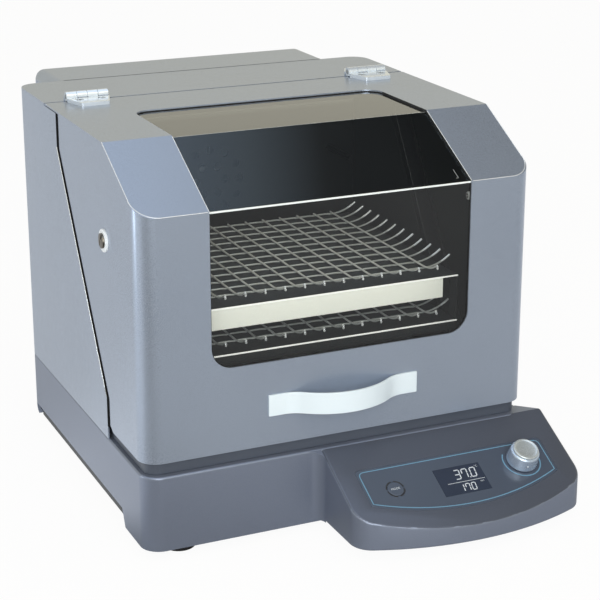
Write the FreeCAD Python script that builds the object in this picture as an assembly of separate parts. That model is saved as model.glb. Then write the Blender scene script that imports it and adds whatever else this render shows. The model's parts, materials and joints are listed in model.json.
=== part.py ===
import FreeCAD, Part
import math
import os

# Benchtop shaking incubator: a base with a control pod, a heated cabinet, and a hinged hood
# with a bent window over two wire trays on an orbiting table.
# Millimetres, +Z up, +X to the user's right, the user stands at -Y.
# The machine is drawn about the middle of the hood's width, and moved as it is saved, so that the
# origin is on the bench, under the middle of the whole machine.

V = FreeCAD.Vector

# Outer casing
body_width = 420.0
base_depth = 398.0
base_height = 78.0
foot_height = 10.0
plinth_height = 13.0
hood_height = 296.0
corner_radius = 20.0
sheet = 1.5
front_offset = 186.5
pod_reach = 109.5
pod_left = -25.0
rear_box_depth = 78.0
rear_box_width = 340.0
rear_box_height = 246.0
rear_box_bend = 14.0
vent_count = 9
vent_pitch = 14.0
vent_width = 5.0
vent_length = 70.0
vent_rise = 60.0

# Hood shape
hood_setback = 2.5
front_height = 244.0
slope_run = 97.5
lid_depth = 289.5
lid_gap = 3.0
lid_clearance = 1.0
gap_upper_inset = 42.0
gap_upper_drop = 38.5
gap_lower_reach = 107.5
gap_lower_rise = 45.5
hood_heel_rise = 8.0
hood_heel_run = 14.0
hood_flange = 12.0

# Window
window_margin = 71.0
window_sill = 87.0
window_rear_inset = 74.0
window_front_radius = 22.0
window_rear_radius = 18.0
gasket = 0.8
gasket_reveal = 1.0
pane = 4.0
pane_lap = 14.0
rail_width = 10.0
rail_thickness = 2.5

# Base housing
base_wall = 3.0
base_edge_radius = 2.5
notch_rise = 18.0
notch_front = 74.0
notch_rear = 15.5
notch_slant = 9.0
base_opening_margin = 45.0
pan_sheet = 2.0
pan_lift = 2.0
pan_side_inset = 6.5
pan_side_height = 20.0
foot_diameter = 34.0
foot_inset_x = 43.0
foot_inset_front = 28.0
foot_inset_rear = 40.0

# Control pod
pod_slope = 27.0
pod_bow = 28.5
pod_corner_radius = 24.0
pod_inner_fillet = 12.0
pod_flare = 21.0
pod_lift = 2.5
pod_edge_radius = 3.0
panel_centre_drop = 64.0
fascia_half = 106.0
fascia_margin = 22.5
fascia_up = 28.0
fascia_down = 17.0
fascia_bow = 22.0
fascia_thickness = 0.8
fascia_radius = 5.0
lcd_width = 52.0
lcd_height = 34.0
lcd_drop = 6.0
control_spread = 73.0
board_depth = 13.0
board_thickness = 1.6

# Push button and jog knob
button_diameter = 16.6
button_clearance = 0.3
button_travel = 0.8
button_proud = 0.4
button_drop = 2.0
button_lip = 1.7
button_lip_height = 1.5
tact_switch = 1.8
knob_rise = 3.0
knob_base_diameter = 33.0
knob_top_diameter = 30.0
knob_height = 14.5
knob_cap_diameter = 27.0
knob_cap_height = 2.5
knob_dish = 0.9
knob_gap = 1.4
knob_hollow = 16.0
knob_hollow_depth = 5.0
shaft_diameter = 4.0
plunger_diameter = 6.0
plunger_length = 5.0
encoder_bush = 9.0
encoder_side = 13.0
running_clearance = 0.05

# Handle
handle_length = 162.0
handle_width = 22.0
handle_thickness = 2.5
handle_bow = 22.0
handle_pad = 15.0
handle_rise = 42.0
handle_end_radius = 35.0

# Hinges
hinge_margin = 46.0
hinge_width = 46.0
hinge_barrel = 10.0
hinge_pin = 5.0
hinge_leaf = 4.0
hinge_front_reach = 33.0
hinge_rear_reach = 24.0
hinge_taper = 8.0
hinge_end_radius = 1.5
hinge_knuckle_gap = 0.4
hinge_leaf_gap = 7.0
hinge_screw_spread = 24.0
hinge_screw_reach = 15.0

# Fasteners
screw_shank = 4.0
screw_head = 8.0
screw_head_height = 2.0
screw_grip = 6.0
screw_clearance = 0.2
side_screw_reach = 97.5
side_screw_rise = 199.0
side_screw_shank = 5.0
side_screw_head = 15.0
side_screw_head_height = 2.5
side_washer = 23.0
side_washer_thickness = 2.5
side_nut = 9.0
side_nut_height = 5.0

# Chamber
jamb_width = 26.5
jamb_depth = 10.0
header_height = 14.0
seal = 2.7
seal_width = 11.0
liner = 1.5
hood_lining = 13.5
hood_lining_margin = 8.0
baffle_inset = 40.0
ceiling_drop = 14.0
cove_radius = 20.0
ledge_depth = 9.0
ledge_height = 187.0
slot_count = 25
slot_pitch = 9.4
slot_width = 4.5
slot_height = 13.0
slot_drop = 23.0
ledge_hole = 5.0
ledge_hole_pitch = 18.0
ledge_hole_count = 17
plinth_inset = 5.0
plinth_wall = 30.0
pan_inset = 16.0
pan_height = 40.0

# Air circulation
fan_height = 275.0
fan_diameter = 140.0
fan_hub = 30.0
fan_blade_count = 8
fan_depth = 18.0
fan_shaft = 8.0
fan_shaft_grip = 15.0
fan_wall_gap = 8.0
fan_motor_diameter = 62.0
fan_motor_length = 48.0
intake_hole = 9.0
intake_circle_count = 2
heater_radius = 88.0
heater_tube = 8.0
heater_spread_deg = 12.0
heater_tail = 30.0
probe_diameter = 6.0
probe_length = 60.0
probe_margin = 32.0
probe_height = 300.0

# Orbiting table
orbit = 8.0
table_centre_y = -5.0
table_margin = 62.0
table_depth = 190.0
table_thickness = 8.0
table_height = 156.0
crank_front_offset = 50.0
idler_inset = 25.0
idler_rear_offset = 55.0
journal = 16.0
crank_pin = 12.0
bush_wall = 4.0
web_diameter = 46.0
web_thickness = 8.0
web_lift = 3.0
counterweight_radius = 38.0
deck_thickness = 6.0
housing_flange = 58.0
housing_flange_height = 6.0
housing_barrel = 38.0
housing_rise = 36.0
journal_clearance = 4.0

# Belt drive
pulley_diameter = 90.0
motor_pulley_diameter = 30.0
pulley_height = 14.0
pulley_drop = 8.0
groove_depth = 3.0
groove_height = 10.0
belt_thickness = 2.4
belt_clearance = 0.3
motor_offset = 118.0
motor_diameter = 64.0
motor_height = 46.0
motor_shaft = 6.0

# Trays
tray_wire = 2.4
tray_pitch_x = 21.3
tray_pitch_y = 20.6
tray_side_count = 6
tray_cross_count = 12
tray_first_y = -108.0
tray_tip_run = 31.0
tray_tip_rise = 13.0
tray_tail_run = 30.0
tray_tail_rise = 9.0
tray_layer_gap = 0.05
platform_margin = 30.0
platform_front = -138.5
platform_rear = 120.0
platform_sheet = 1.5
platform_lip = 10.0
lower_platform_height = 184.0
upper_platform_height = 233.0
platform_leg = 18.0
post_width = 14.0
post_setback = 3.5
rail_margin = 17.0
rail_height = 21.0
rail_depth = 2.0

# Power parts
inlet_margin = 80.0
inlet_height = 58.0
inlet_width = 50.0
inlet_tall = 27.0
inlet_depth = 30.0
inlet_flange = 3.0
inlet_flange_thickness = 2.5
socket_width = 24.0
socket_tall = 16.0
socket_depth = 16.0
pin_spread = 7.0
pin_drop = 2.0
pin_width = 2.0
pin_tall = 4.0
pin_recess = 4.0
rocker_width = 12.0
rocker_radius = 9.2
rocker_clearance = 0.5
rocker_tilt = 8.0
rocker_proud = 2.0
rocker_pivot = 3.0
supply_length = 110.0
supply_width = 66.0
supply_height = 38.0
supply_margin = 115.0
supply_y = 110.0

# Derived planes
half = body_width / 2
base_front_y = -front_offset
pod_front_y = base_front_y - pod_reach
rear_y = base_front_y + base_depth
box_rear_y = rear_y + rear_box_depth
base_z = foot_height
base_top_z = base_z + base_height
hood_z = base_top_z + plinth_height
top_z = hood_z + hood_height
bend_z = hood_z + front_height
hood_front_y = base_front_y + hood_setback
bend_y = hood_front_y + slope_run
hinge_y = hood_front_y + lid_depth
hinge_z = top_z + hinge_barrel / 2
sill_z = hood_z + window_sill
window_half = half - window_margin
hinge_spread = half - hinge_margin
pod_right = half + pod_flare
pod_middle_x = (pod_left + pod_right) / 2
washer_face_x = half + side_washer_thickness
bolt_face_x = washer_face_x + side_screw_head_height
middle_x = (pod_right - bolt_face_x) / 2
middle_y = (pod_front_y + box_rear_y) / 2
panel_centre_x = pod_right - fascia_margin - fascia_half
window_rear_y = hinge_y - window_rear_inset
under_top_z = top_z - sheet
fixed_top_z = under_top_z - lid_clearance
inner_half = half - sheet - jamb_width
probe_x = inner_half - probe_margin
platform_half = inner_half - platform_margin
rail_half = platform_half - rail_margin
table_half = inner_half - table_margin
idler_half = table_half - idler_inset
inlet_x = inlet_margin - half
supply_x = half - supply_margin
baffle_y = rear_y - baffle_inset
pan_top_z = base_top_z + plinth_height - lid_clearance + pan_height
plinth_top_z = hood_z - lid_clearance
bottom_pan_z = base_z + pan_lift
deck_top_z = base_top_z + deck_thickness

# Paths in the side view, as (y, z): the hood's outer skin from its rear edge to its sill,
# and the middle of the gap between hood and cabinet from the top down
skin_path = [(hinge_y - lid_gap / 2, top_z), (bend_y, top_z), (hood_front_y, bend_z), (hood_front_y, hood_z)]
gap_y = hinge_y - gap_upper_inset
gap_low_y = hood_front_y + gap_lower_reach
gap_path = [(gap_y, under_top_z), (gap_y, top_z - gap_upper_drop),
            (gap_low_y, base_top_z + gap_lower_rise), (gap_low_y, base_top_z)]


# Helpers
def shifted(path, distance):
    # An open path moved to the left of its direction, with mitred corners
    lines = []
    for (a0, b0), (a1, b1) in zip(path, path[1:]):
        length = math.hypot(a1 - a0, b1 - b0)
        na, nb = -(b1 - b0) / length, (a1 - a0) / length
        lines.append((a0 + na * distance, b0 + nb * distance, (a1 - a0) / length, (b1 - b0) / length))
    result = [lines[0][:2]]
    for (a0, b0, u0, w0), (a1, b1, u1, w1) in zip(lines, lines[1:]):
        cross = u0 * w1 - w0 * u1
        t = ((a1 - a0) * w1 - (b1 - b0) * u1) / cross
        result.append((a0 + u0 * t, b0 + w0 * t))
    (a0, b0), (a1, b1) = path[-2], path[-1]
    a, b, u, w = lines[-1]
    length = math.hypot(a1 - a0, b1 - b0)
    result.append((a + u * length, b + w * length))
    return result


def rounded(corners, place):
    # A closed wire through (a, b, radius) corners, each eased by a tangent arc
    points = []
    count = len(corners)
    for i, (a, b, radius) in enumerate(corners):
        pa, pb = corners[i - 1][:2]
        na, nb = corners[(i + 1) % count][:2]
        if radius <= 0:
            points.append(((a, b), None, (a, b)))
            continue
        lp, ln = math.hypot(pa - a, pb - b), math.hypot(na - a, nb - b)
        up, wp = (pa - a) / lp, (pb - b) / lp
        un, wn = (na - a) / ln, (nb - b) / ln
        angle = math.acos(up * un + wp * wn)
        reach = radius / math.tan(angle / 2)
        bis_a, bis_b = up + un, wp + wn
        bis = math.hypot(bis_a, bis_b)
        far = radius / math.sin(angle / 2) - radius
        middle = (a + bis_a / bis * far, b + bis_b / bis * far)
        points.append(((a + up * reach, b + wp * reach), middle, (a + un * reach, b + wn * reach)))
    edges = []
    for i, (start, middle, end) in enumerate(points):
        if middle:
            edges.append(Part.Arc(place(*start), place(*middle), place(*end)).toShape())
        nxt = points[(i + 1) % count][0]
        if math.hypot(nxt[0] - end[0], nxt[1] - end[1]) > 1e-6:
            edges.append(Part.LineSegment(place(*end), place(*nxt)).toShape())
    return Part.Wire(edges)


def prism_x(points, x0, x1):
    wire = Part.makePolygon([V(x0, y, z) for y, z in points + points[:1]])
    return Part.Face(wire).extrude(V(x1 - x0, 0, 0))


def prism_z(corners, z0, z1):
    wire = rounded(corners, lambda a, b: V(a, b, z0))
    return Part.Face(wire).extrude(V(0, 0, z1 - z0))


def prism_y(corners, y0, y1):
    wire = rounded(corners, lambda a, b: V(a, y0, b))
    return Part.Face(wire).extrude(V(0, y1 - y0, 0))


def box(x0, x1, y0, y1, z0, z1):
    return Part.makeBox(x1 - x0, y1 - y0, z1 - z0, V(x0, y0, z0))


def rod(x, y, z0, z1, diameter):
    return Part.makeCylinder(diameter / 2, z1 - z0, V(x, y, z0))


def rod_x(x0, x1, y, z, diameter):
    return Part.makeCylinder(diameter / 2, x1 - x0, V(x0, y, z), V(1, 0, 0))


def rod_y(x, y0, y1, z, diameter):
    return Part.makeCylinder(diameter / 2, y1 - y0, V(x, y0, z), V(0, 1, 0))


def ring(x, y, z0, z1, outer, inner):
    return rod(x, y, z0, z1, outer).cut(rod(x, y, z0 - 1, z1 + 1, inner))


def band(path, near, far):
    # The strip between two sideways shifts of one path
    return shifted(path, near) + shifted(path, far)[::-1]


def mirrored(shape):
    return shape.mirror(V(0, 0, 0), V(1, 0, 0))


def both_sides(shape):
    return [shape, mirrored(shape)]


def joined(first, *others):
    return first.fuse(list(others)).removeSplitter()


def save(name, *shapes):
    solids = []
    for shape in shapes:
        solids.extend(shape.Solids)
    result = solids[0] if len(solids) == 1 else Part.makeCompound(solids)
    result.translated(V(-middle_x, -middle_y, 0)).exportStep("parts/%s.step" % name)


os.makedirs("parts", exist_ok=True)


# Hood: side and front wrap, top and slope cover
def hood_plan(inset, rear_y_edge):
    r = corner_radius - inset
    x = half - inset
    front = hood_front_y + inset
    return [(-x, front, r), (x, front, r), (x, rear_y_edge, 0), (-x, rear_y_edge, 0)]


def window_front(shrink, y0, y1):
    w = window_half - shrink
    r = window_front_radius - shrink
    return prism_y([(-w, sill_z + shrink, r), (w, sill_z + shrink, r), (w, top_z + sheet, 0),
                    (-w, top_z + sheet, 0)], y0, y1)


def window_top(shrink, z0, z1):
    w = window_half - shrink
    r = window_rear_radius - shrink
    return prism_z([(-w, window_rear_y - shrink, r), (-w, hood_front_y - sheet, 0),
                    (w, hood_front_y - sheet, 0), (w, window_rear_y - shrink, r)], z0, z1)


inner_skin = shifted(skin_path, sheet)
hood_edge = shifted(gap_path, -lid_gap / 2)
body_edge = shifted(gap_path, lid_gap / 2)
hood_rear_y = hinge_y - lid_gap / 2
heel_z = hood_z + hood_heel_rise
side_screw_y = hood_front_y + side_screw_reach
side_screw_z = hood_z + side_screw_rise
handle_z = hood_z + handle_rise
handle_screw_x = handle_length / 2 - handle_pad / 2
shank_hole = screw_shank + 2 * screw_clearance
bolt_bore = side_screw_shank + 2 * screw_clearance
hinge_xs = (-hinge_spread, hinge_spread)
hinge_screw_xs = [x + side * hinge_screw_spread / 2 for x in hinge_xs for side in (-1, 1)]
front_screw_y = hinge_y - hinge_screw_reach
rear_screw_y = hinge_y + hinge_screw_reach


def hood_wrap():
    walls = prism_z(hood_plan(0, hinge_y), hood_z, top_z)
    walls = walls.cut(prism_z(hood_plan(sheet, hinge_y + sheet), hood_z - sheet, top_z + sheet))
    side = [(hood_front_y, hood_z), (hood_front_y, bend_z), inner_skin[2], inner_skin[1],
            (hood_edge[0][0], under_top_z), hood_edge[1], hood_edge[2],
            (hood_edge[2][0], heel_z), (hood_edge[2][0] - hood_heel_run, hood_z)]
    walls = walls.common(prism_x(side, -half - sheet, half + sheet))
    walls = walls.cut(window_front(0, hood_front_y - sheet, hood_front_y + corner_radius))
    lip_path = gap_path[:3] + [(gap_low_y, heel_z)]
    lip = prism_x(band(lip_path, -lid_gap / 2 - sheet, -lid_gap / 2), -half + sheet, -half + hood_flange)
    walls = joined(walls, *both_sides(lip))
    for x in (-handle_screw_x, handle_screw_x):
        walls = walls.cut(rod_y(x, hood_front_y - sheet, hood_front_y + 2 * sheet, handle_z, shank_hole))
    return walls.cut(rod_x(-half - sheet, half + sheet, side_screw_y, side_screw_z, bolt_bore))


def hood_top():
    cover = prism_x([skin_path[0], skin_path[1], inner_skin[1], inner_skin[0]], -half, half)
    slope = prism_x([skin_path[1], skin_path[2], inner_skin[2], inner_skin[1]], -half, half)
    cover = joined(cover, slope)
    cover = cover.common(prism_z(hood_plan(0, hood_rear_y), hood_z, top_z + sheet))
    cover = cover.cut(window_top(0, bend_z - corner_radius, top_z + sheet))
    for x in hinge_screw_xs:
        cover = cover.cut(rod(x, front_screw_y, top_z - 2 * sheet, top_z + sheet, shank_hole))
    return cover


save("hood_wrap", hood_wrap())
save("hood_top", hood_top())

# Window: three panes, mitred at the bends, their seal and the rails that hold them
pane_path = [(window_rear_y + pane_lap, top_z), (bend_y, top_z), (hood_front_y, bend_z),
             (hood_front_y, sill_z - pane_lap)]
pane_half = window_half + pane_lap
pane_outer = shifted(pane_path, sheet + gasket)
pane_inner = shifted(pane_path, sheet + gasket + pane)
for i, name in enumerate(("window_top_pane", "window_slope_pane", "window_front_pane")):
    section = [pane_outer[i], pane_outer[i + 1], pane_inner[i + 1], pane_inner[i]]
    save(name, prism_x(section, -pane_half, pane_half))

gasket_strip = prism_x(band(pane_path, sheet, sheet + gasket), -pane_half, pane_half)
gasket_strip = gasket_strip.cut(window_front(gasket_reveal, hood_front_y - sheet, hood_front_y + corner_radius))
gasket_strip = gasket_strip.cut(window_top(gasket_reveal, bend_z - corner_radius, top_z + sheet))
save("window_gasket", gasket_strip)

pane_back = sheet + gasket + pane
pane_rail = prism_x(band(pane_path, pane_back, pane_back + rail_thickness), pane_half - rail_width, pane_half)
save("pane_rails", *both_sides(pane_rail))

# Dark inner linings of the hood's sides
lining_margin = sheet + hood_lining_margin
lining_skin = shifted(skin_path, lining_margin)
lining_edge = shifted(gap_path, -lid_gap / 2 - lining_margin)
lining_top_z = top_z - lining_margin
lining_low_z = hood_z + lining_margin
lining_low_y = lining_edge[2][0] - hood_heel_run
lining = [(lining_skin[3][0], lining_low_z), lining_skin[2], lining_skin[1], (lining_edge[0][0], lining_top_z),
          lining_edge[1], lining_edge[2], (lining_edge[2][0], lining_low_z + hood_heel_run),
          (lining_low_y, lining_low_z)]
lining_face_x = half - sheet - hood_lining
lining_panel = prism_x(lining, lining_face_x, half - sheet)
lining_corner = prism_z(hood_plan(lining_margin, hinge_y), hood_z, top_z)
lining_panel = lining_panel.common(lining_corner).fuse(
    prism_x(lining, lining_face_x, half - sheet).common(
        box(0, half, hood_front_y + corner_radius, hinge_y, hood_z, top_z))).removeSplitter()
bolt_hole = rod_x(0, half, side_screw_y, side_screw_z, bolt_bore)
save("hood_inner_sides", *both_sides(lining_panel.cut(bolt_hole)))

# Side bolts with their white washers and inner nuts
washer = rod_x(half, washer_face_x, side_screw_y, side_screw_z, side_washer)
washer = washer.cut(rod_x(half - 1, washer_face_x + 1, side_screw_y, side_screw_z, bolt_bore))
save("side_washers", *both_sides(washer))
side_bolt = rod_x(washer_face_x, bolt_face_x, side_screw_y, side_screw_z, side_screw_head)
side_bolt = side_bolt.fuse(rod_x(lining_face_x - side_nut_height, washer_face_x, side_screw_y, side_screw_z,
                                 side_screw_shank))
side_bolt = side_bolt.removeSplitter()
nut = rod_x(lining_face_x - side_nut_height, lining_face_x, side_screw_y, side_screw_z, side_nut)
nut = nut.cut(rod_x(0, half, side_screw_y, side_screw_z, side_screw_shank))
save("side_bolts", *both_sides(side_bolt), *both_sides(nut))


# Handle: a strap that lies flat at its ends and bows out between them
def handle_strap():
    run = handle_length / 2 - handle_pad
    turn = 2 * math.atan(handle_bow / run)
    radii = run / math.sin(turn)
    end_r = handle_end_radius
    mid_r = radii - end_r
    t = handle_thickness

    def arc(centre_x, centre_b, radius, start, end):
        at = [(centre_x + radius * math.sin(a), centre_b - radius * math.cos(a))
              for a in (start, (start + end) / 2, end)]
        return Part.Arc(*[V(x, hood_front_y + b, 0) for x, b in at]).toShape()

    def line(x0, b0, x1, b1):
        return Part.LineSegment(V(x0, hood_front_y + b0, 0), V(x1, hood_front_y + b1, 0)).toShape()

    def skin(offset):
        # Left pad, reverse arc, middle arc, reverse arc, right pad
        end_c = -end_r - offset
        mid_c = mid_r - handle_bow - offset
        return [line(-handle_length / 2, -offset, -run, -offset),
                arc(-run, end_c + offset, end_r - offset, math.pi, math.pi - turn),
                arc(0, mid_c + offset, mid_r + offset, -turn, turn),
                arc(run, end_c + offset, end_r - offset, math.pi + turn, math.pi),
                line(run, -offset, handle_length / 2, -offset)]

    back = skin(0)
    front = skin(t)
    close = [line(x, 0, x, -t) for x in (-handle_length / 2, handle_length / 2)]
    wire = Part.Wire(Part.__sortEdges__(back + front + close))
    strap = Part.Face(wire).extrude(V(0, 0, handle_width))
    strap.translate(V(0, 0, handle_z - handle_width / 2))
    for x in (-handle_screw_x, handle_screw_x):
        strap = strap.cut(rod_y(x, hood_front_y - t / 2, hood_front_y + t, handle_z, screw_shank))
    return strap


save("handle_strap", handle_strap())


# Hinges: a front leaf on the hood and a rear leaf on the cabinet, with interleaved knuckles
def hinge_leaf_solid(x, direction, reach, first):
    knuckle = hinge_width / 4
    near, far = hinge_y + direction * hinge_leaf_gap, hinge_y + direction * reach
    w = hinge_width / 2
    end = w - hinge_taper
    plate = prism_z([(x - w, near, 0), (x + w, near, 0), (x + end, far, hinge_end_radius),
                     (x - end, far, hinge_end_radius)], top_z, top_z + hinge_leaf)
    parts = []
    for k in (first, first + 2):
        x0 = x - w + k * knuckle + hinge_knuckle_gap / 2
        x1 = x0 + knuckle - hinge_knuckle_gap
        parts.append(rod_x(x0, x1, hinge_y, hinge_z, hinge_barrel))
        lo, hi = sorted((hinge_y, near))
        parts.append(box(x0, x1, lo, hi, top_z + hinge_leaf / 4, top_z + hinge_leaf))
    leaf = joined(plate, *parts)
    leaf = leaf.cut(rod_x(x - hinge_width, x + hinge_width, hinge_y, hinge_z,
                          hinge_pin + 2 * running_clearance))
    screw_y = hinge_y + direction * hinge_screw_reach
    for side in (-1, 1):
        sx = x + side * hinge_screw_spread / 2
        leaf = leaf.cut(rod(sx, screw_y, top_z - 1, top_z + hinge_leaf + 1, shank_hole))
        leaf = leaf.cut(rod(sx, screw_y, top_z + hinge_leaf - screw_head_height, top_z + hinge_leaf + 1,
                            screw_head + 2 * screw_clearance))
    return leaf


def leaf_screw(x, y):
    head_z = top_z + hinge_leaf - screw_head_height
    head = rod(x, y, head_z, top_z + hinge_leaf, screw_head)
    return joined(head, rod(x, y, top_z - sheet - screw_grip, head_z, screw_shank))


def handle_screw(x):
    head = rod_y(x, hood_front_y + sheet, hood_front_y + sheet + screw_head_height, handle_z, screw_head)
    shank = rod_y(x, hood_front_y - handle_thickness / 2, hood_front_y + sheet, handle_z, screw_shank)
    return joined(head, shank)


save("hinge_hood_leaves", *[hinge_leaf_solid(x, -1, hinge_front_reach, 0) for x in hinge_xs])
save("hinge_rear_leaves", *[hinge_leaf_solid(x, 1, hinge_rear_reach, 1) for x in hinge_xs])
save("hinge_pins", *[rod_x(x - hinge_width / 2, x + hinge_width / 2, hinge_y, hinge_z, hinge_pin)
                     for x in hinge_xs])
save("hood_screws", *[leaf_screw(x, front_screw_y) for x in hinge_screw_xs],
     *[handle_screw(x) for x in (-handle_screw_x, handle_screw_x)])


# Cabinet: wrapped sides and back, top strip, and the box behind
def rear_plan(inset, front_y, x_half, back_y, radius):
    x = x_half - inset
    r = max(radius - inset, 0)
    return [(-x, front_y, 0), (x, front_y, 0), (x, back_y - inset, r), (-x, back_y - inset, r)]


fan_hole = rod_y(0, rear_y - 2 * sheet, rear_y + sheet, fan_height, fan_shaft + 2 * screw_clearance)
heater_angles = [math.radians(90 + side * heater_spread_deg) for side in (-1, 1)]
heater_ends = [(heater_radius * math.cos(a), fan_height - heater_radius * math.sin(a)) for a in heater_angles]


def cabinet_wrap():
    walls = prism_z(rear_plan(0, gap_low_y, half, rear_y, corner_radius), base_top_z, top_z)
    walls = walls.cut(prism_z(rear_plan(sheet, gap_low_y - sheet, half, rear_y, corner_radius),
                              base_top_z - sheet, top_z + sheet))
    strip_y = hinge_y + lid_gap / 2
    side = [(rear_y + sheet, base_top_z), (body_edge[3][0], base_top_z), body_edge[2], body_edge[1],
            (body_edge[0][0], fixed_top_z), (strip_y, fixed_top_z), (strip_y, under_top_z),
            (rear_y + sheet, under_top_z)]
    walls = walls.common(prism_x(side, -half - sheet, half + sheet))
    walls = walls.cut(fan_hole)
    for x, z in heater_ends:
        walls = walls.cut(rod_y(x, rear_y - 2 * sheet, rear_y + sheet, z, heater_tube + 4 * screw_clearance))
    return walls


def cabinet_top():
    strip_y = hinge_y + lid_gap / 2
    strip = prism_z(rear_plan(0, strip_y, half, rear_y, corner_radius), under_top_z, top_z)
    lip = box(-inner_half, inner_half, strip_y, strip_y + sheet, under_top_z - ceiling_drop / 2, under_top_z)
    strip = joined(strip, lip)
    for x in hinge_screw_xs:
        strip = strip.cut(rod(x, rear_screw_y, top_z - 2 * sheet, top_z + sheet, shank_hole))
    return strip


def rear_box():
    z0, z1 = top_z - sheet / 2 - rear_box_height, top_z - sheet / 2
    w = rear_box_width / 2

    def bent(inset):
        # The box with rounded rear corners, folded over along its two upper edges
        plan = rear_plan(inset, rear_y - inset, w, box_rear_y, corner_radius / 2)
        block = prism_z(plan, z0 + inset, z1 - inset)
        x, r = w - inset, rear_box_bend - inset
        fold = [(-x, z0 + inset, 0), (x, z0 + inset, 0), (x, z1 - inset, r), (-x, z1 - inset, r)]
        return block.common(prism_y(fold, rear_y - inset, box_rear_y - inset))

    shell = bent(0).cut(bent(sheet))
    for side in (-1, 1):
        for k in range(vent_count):
            z = z0 + vent_rise + k * vent_pitch
            x = side * w / 2
            corners = [(x - vent_length / 2, z, vent_width * 0.49), (x + vent_length / 2, z, vent_width * 0.49),
                       (x + vent_length / 2, z + vent_width, vent_width * 0.49),
                       (x - vent_length / 2, z + vent_width, vent_width * 0.49)]
            shell = shell.cut(prism_y(corners, box_rear_y - 2 * sheet, box_rear_y + sheet))
    return shell


save("cabinet_wrap", cabinet_wrap())
save("cabinet_top", cabinet_top())
save("rear_box", rear_box())

# Moulded frame round the opening, and the seal on it
frame_path = gap_path[:3] + [(gap_low_y, hood_z)]
frame_path[0] = (gap_y, fixed_top_z)
frame_near = lid_gap / 2
jamb = prism_x(band(frame_path, frame_near, frame_near + jamb_depth), inner_half, half - sheet)
header = box(-inner_half, inner_half, gap_y + frame_near, gap_y + frame_near + jamb_depth,
             fixed_top_z - header_height, fixed_top_z)
save("opening_frame", joined(header, *both_sides(jamb)))
seal_x = half - sheet - seal_width
seal_strip = prism_x(band(frame_path, frame_near - seal, frame_near), seal_x, half - sheet - gasket / 3)
seal_top = box(-seal_x, seal_x, gap_y + frame_near - seal, gap_y + frame_near,
               fixed_top_z - seal_width, fixed_top_z)
save("lid_seal", joined(seal_top, *both_sides(seal_strip)))

# Chamber: side walls, insulation, and the back baffle that folds forward into the ceiling
liner_edge = shifted(gap_path, frame_near + jamb_depth)
ceiling_z = fixed_top_z - header_height
liner_side = [(baffle_y, plinth_top_z), (liner_edge[2][0], plinth_top_z), liner_edge[2], liner_edge[1],
              (liner_edge[1][0], ceiling_z), (baffle_y, ceiling_z)]
liner_x = inner_half + liner
save("chamber_sides", *both_sides(prism_x(liner_side, inner_half, liner_x)))
wool_rear_y = rear_y - corner_radius
wool_side = [(wool_rear_y, plinth_top_z), (liner_edge[2][0], plinth_top_z), liner_edge[2], liner_edge[1],
             (liner_edge[1][0], ceiling_z), (wool_rear_y, ceiling_z)]
save("wall_insulation", *both_sides(prism_x(wool_side, liner_x, half - sheet)))


def air_baffle():
    ledge_front_y = baffle_y - cove_radius - ledge_depth
    cove_z = ledge_height + cove_radius
    wall = box(-inner_half, inner_half, baffle_y, baffle_y + liner, cove_z, ceiling_z)
    ceiling = box(-inner_half, inner_half, liner_edge[1][0], baffle_y + liner, ceiling_z - liner, ceiling_z)
    cove_y = baffle_y - cove_radius
    cove = rod_x(-inner_half, inner_half, cove_y, cove_z, 2 * (cove_radius + liner))
    cove = cove.cut(rod_x(-inner_half, inner_half, cove_y, cove_z, 2 * cove_radius))
    cove = cove.common(box(-inner_half, inner_half, cove_y, baffle_y + liner, ledge_height - liner, cove_z))
    ledge = box(-inner_half, inner_half, ledge_front_y, cove_y, ledge_height - liner, ledge_height)
    apron = box(-inner_half, inner_half, ledge_front_y, ledge_front_y + liner, pan_top_z, ledge_height)
    sheet_solid = joined(wall, ceiling, cove, ledge, apron)
    cuts = []
    for k in range(slot_count):
        x = (k - (slot_count - 1) / 2) * slot_pitch
        z = ceiling_z - slot_drop
        r = slot_width * 0.49
        corners = [(x - slot_width / 2, z, r), (x + slot_width / 2, z, r),
                   (x + slot_width / 2, z + slot_height, r), (x - slot_width / 2, z + slot_height, r)]
        cuts.append(prism_y(corners, baffle_y - 1, baffle_y + 2 * liner))
    for k in range(ledge_hole_count):
        x = (k - (ledge_hole_count - 1) / 2) * ledge_hole_pitch
        y = ledge_front_y + ledge_depth / 2
        cuts.append(rod(x, y, ledge_height - 2 * liner, ledge_height + 1, ledge_hole))
    for circle in range(1, intake_circle_count + 1):
        for k in range(6 * circle):
            a = 2 * math.pi * k / (6 * circle)
            r = circle * 2 * intake_hole
            x, z = r * math.cos(a), fan_height + r * math.sin(a)
            cuts.append(rod_y(x, baffle_y - 1, baffle_y + 2 * liner, z, intake_hole))
    cuts.append(rod_y(probe_x, baffle_y - 1, baffle_y + 2 * liner, probe_height, probe_diameter))
    return sheet_solid.cut(cuts)


save("air_baffle", air_baffle())

# Air circulation: fan, its motor in the rear box, the heater ring and the probe
fan_back_y = rear_y - sheet - fan_wall_gap
fan_front_y = fan_back_y - fan_depth
wheel = rod_y(0, fan_front_y, fan_back_y, fan_height, fan_hub)
blade_inner = fan_hub / 2 - 1
for k in range(fan_blade_count):
    blade = Part.makeBox(fan_diameter / 2 - blade_inner, 1.5, fan_depth,
                         V(blade_inner, -0.75, -fan_depth / 2))
    blade.rotate(V(0, 0, 0), V(1, 0, 0), 35)
    blade.rotate(V(0, 0, 0), V(0, 0, 1), 360.0 * k / fan_blade_count)
    blade.rotate(V(0, 0, 0), V(1, 0, 0), -90)
    blade.translate(V(0, (fan_front_y + fan_back_y) / 2, fan_height))
    wheel = wheel.fuse(blade)
wheel = wheel.fuse(rod_y(0, fan_back_y, rear_y + fan_shaft_grip, fan_height, fan_shaft))
save("fan_wheel", wheel.removeSplitter())
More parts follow.
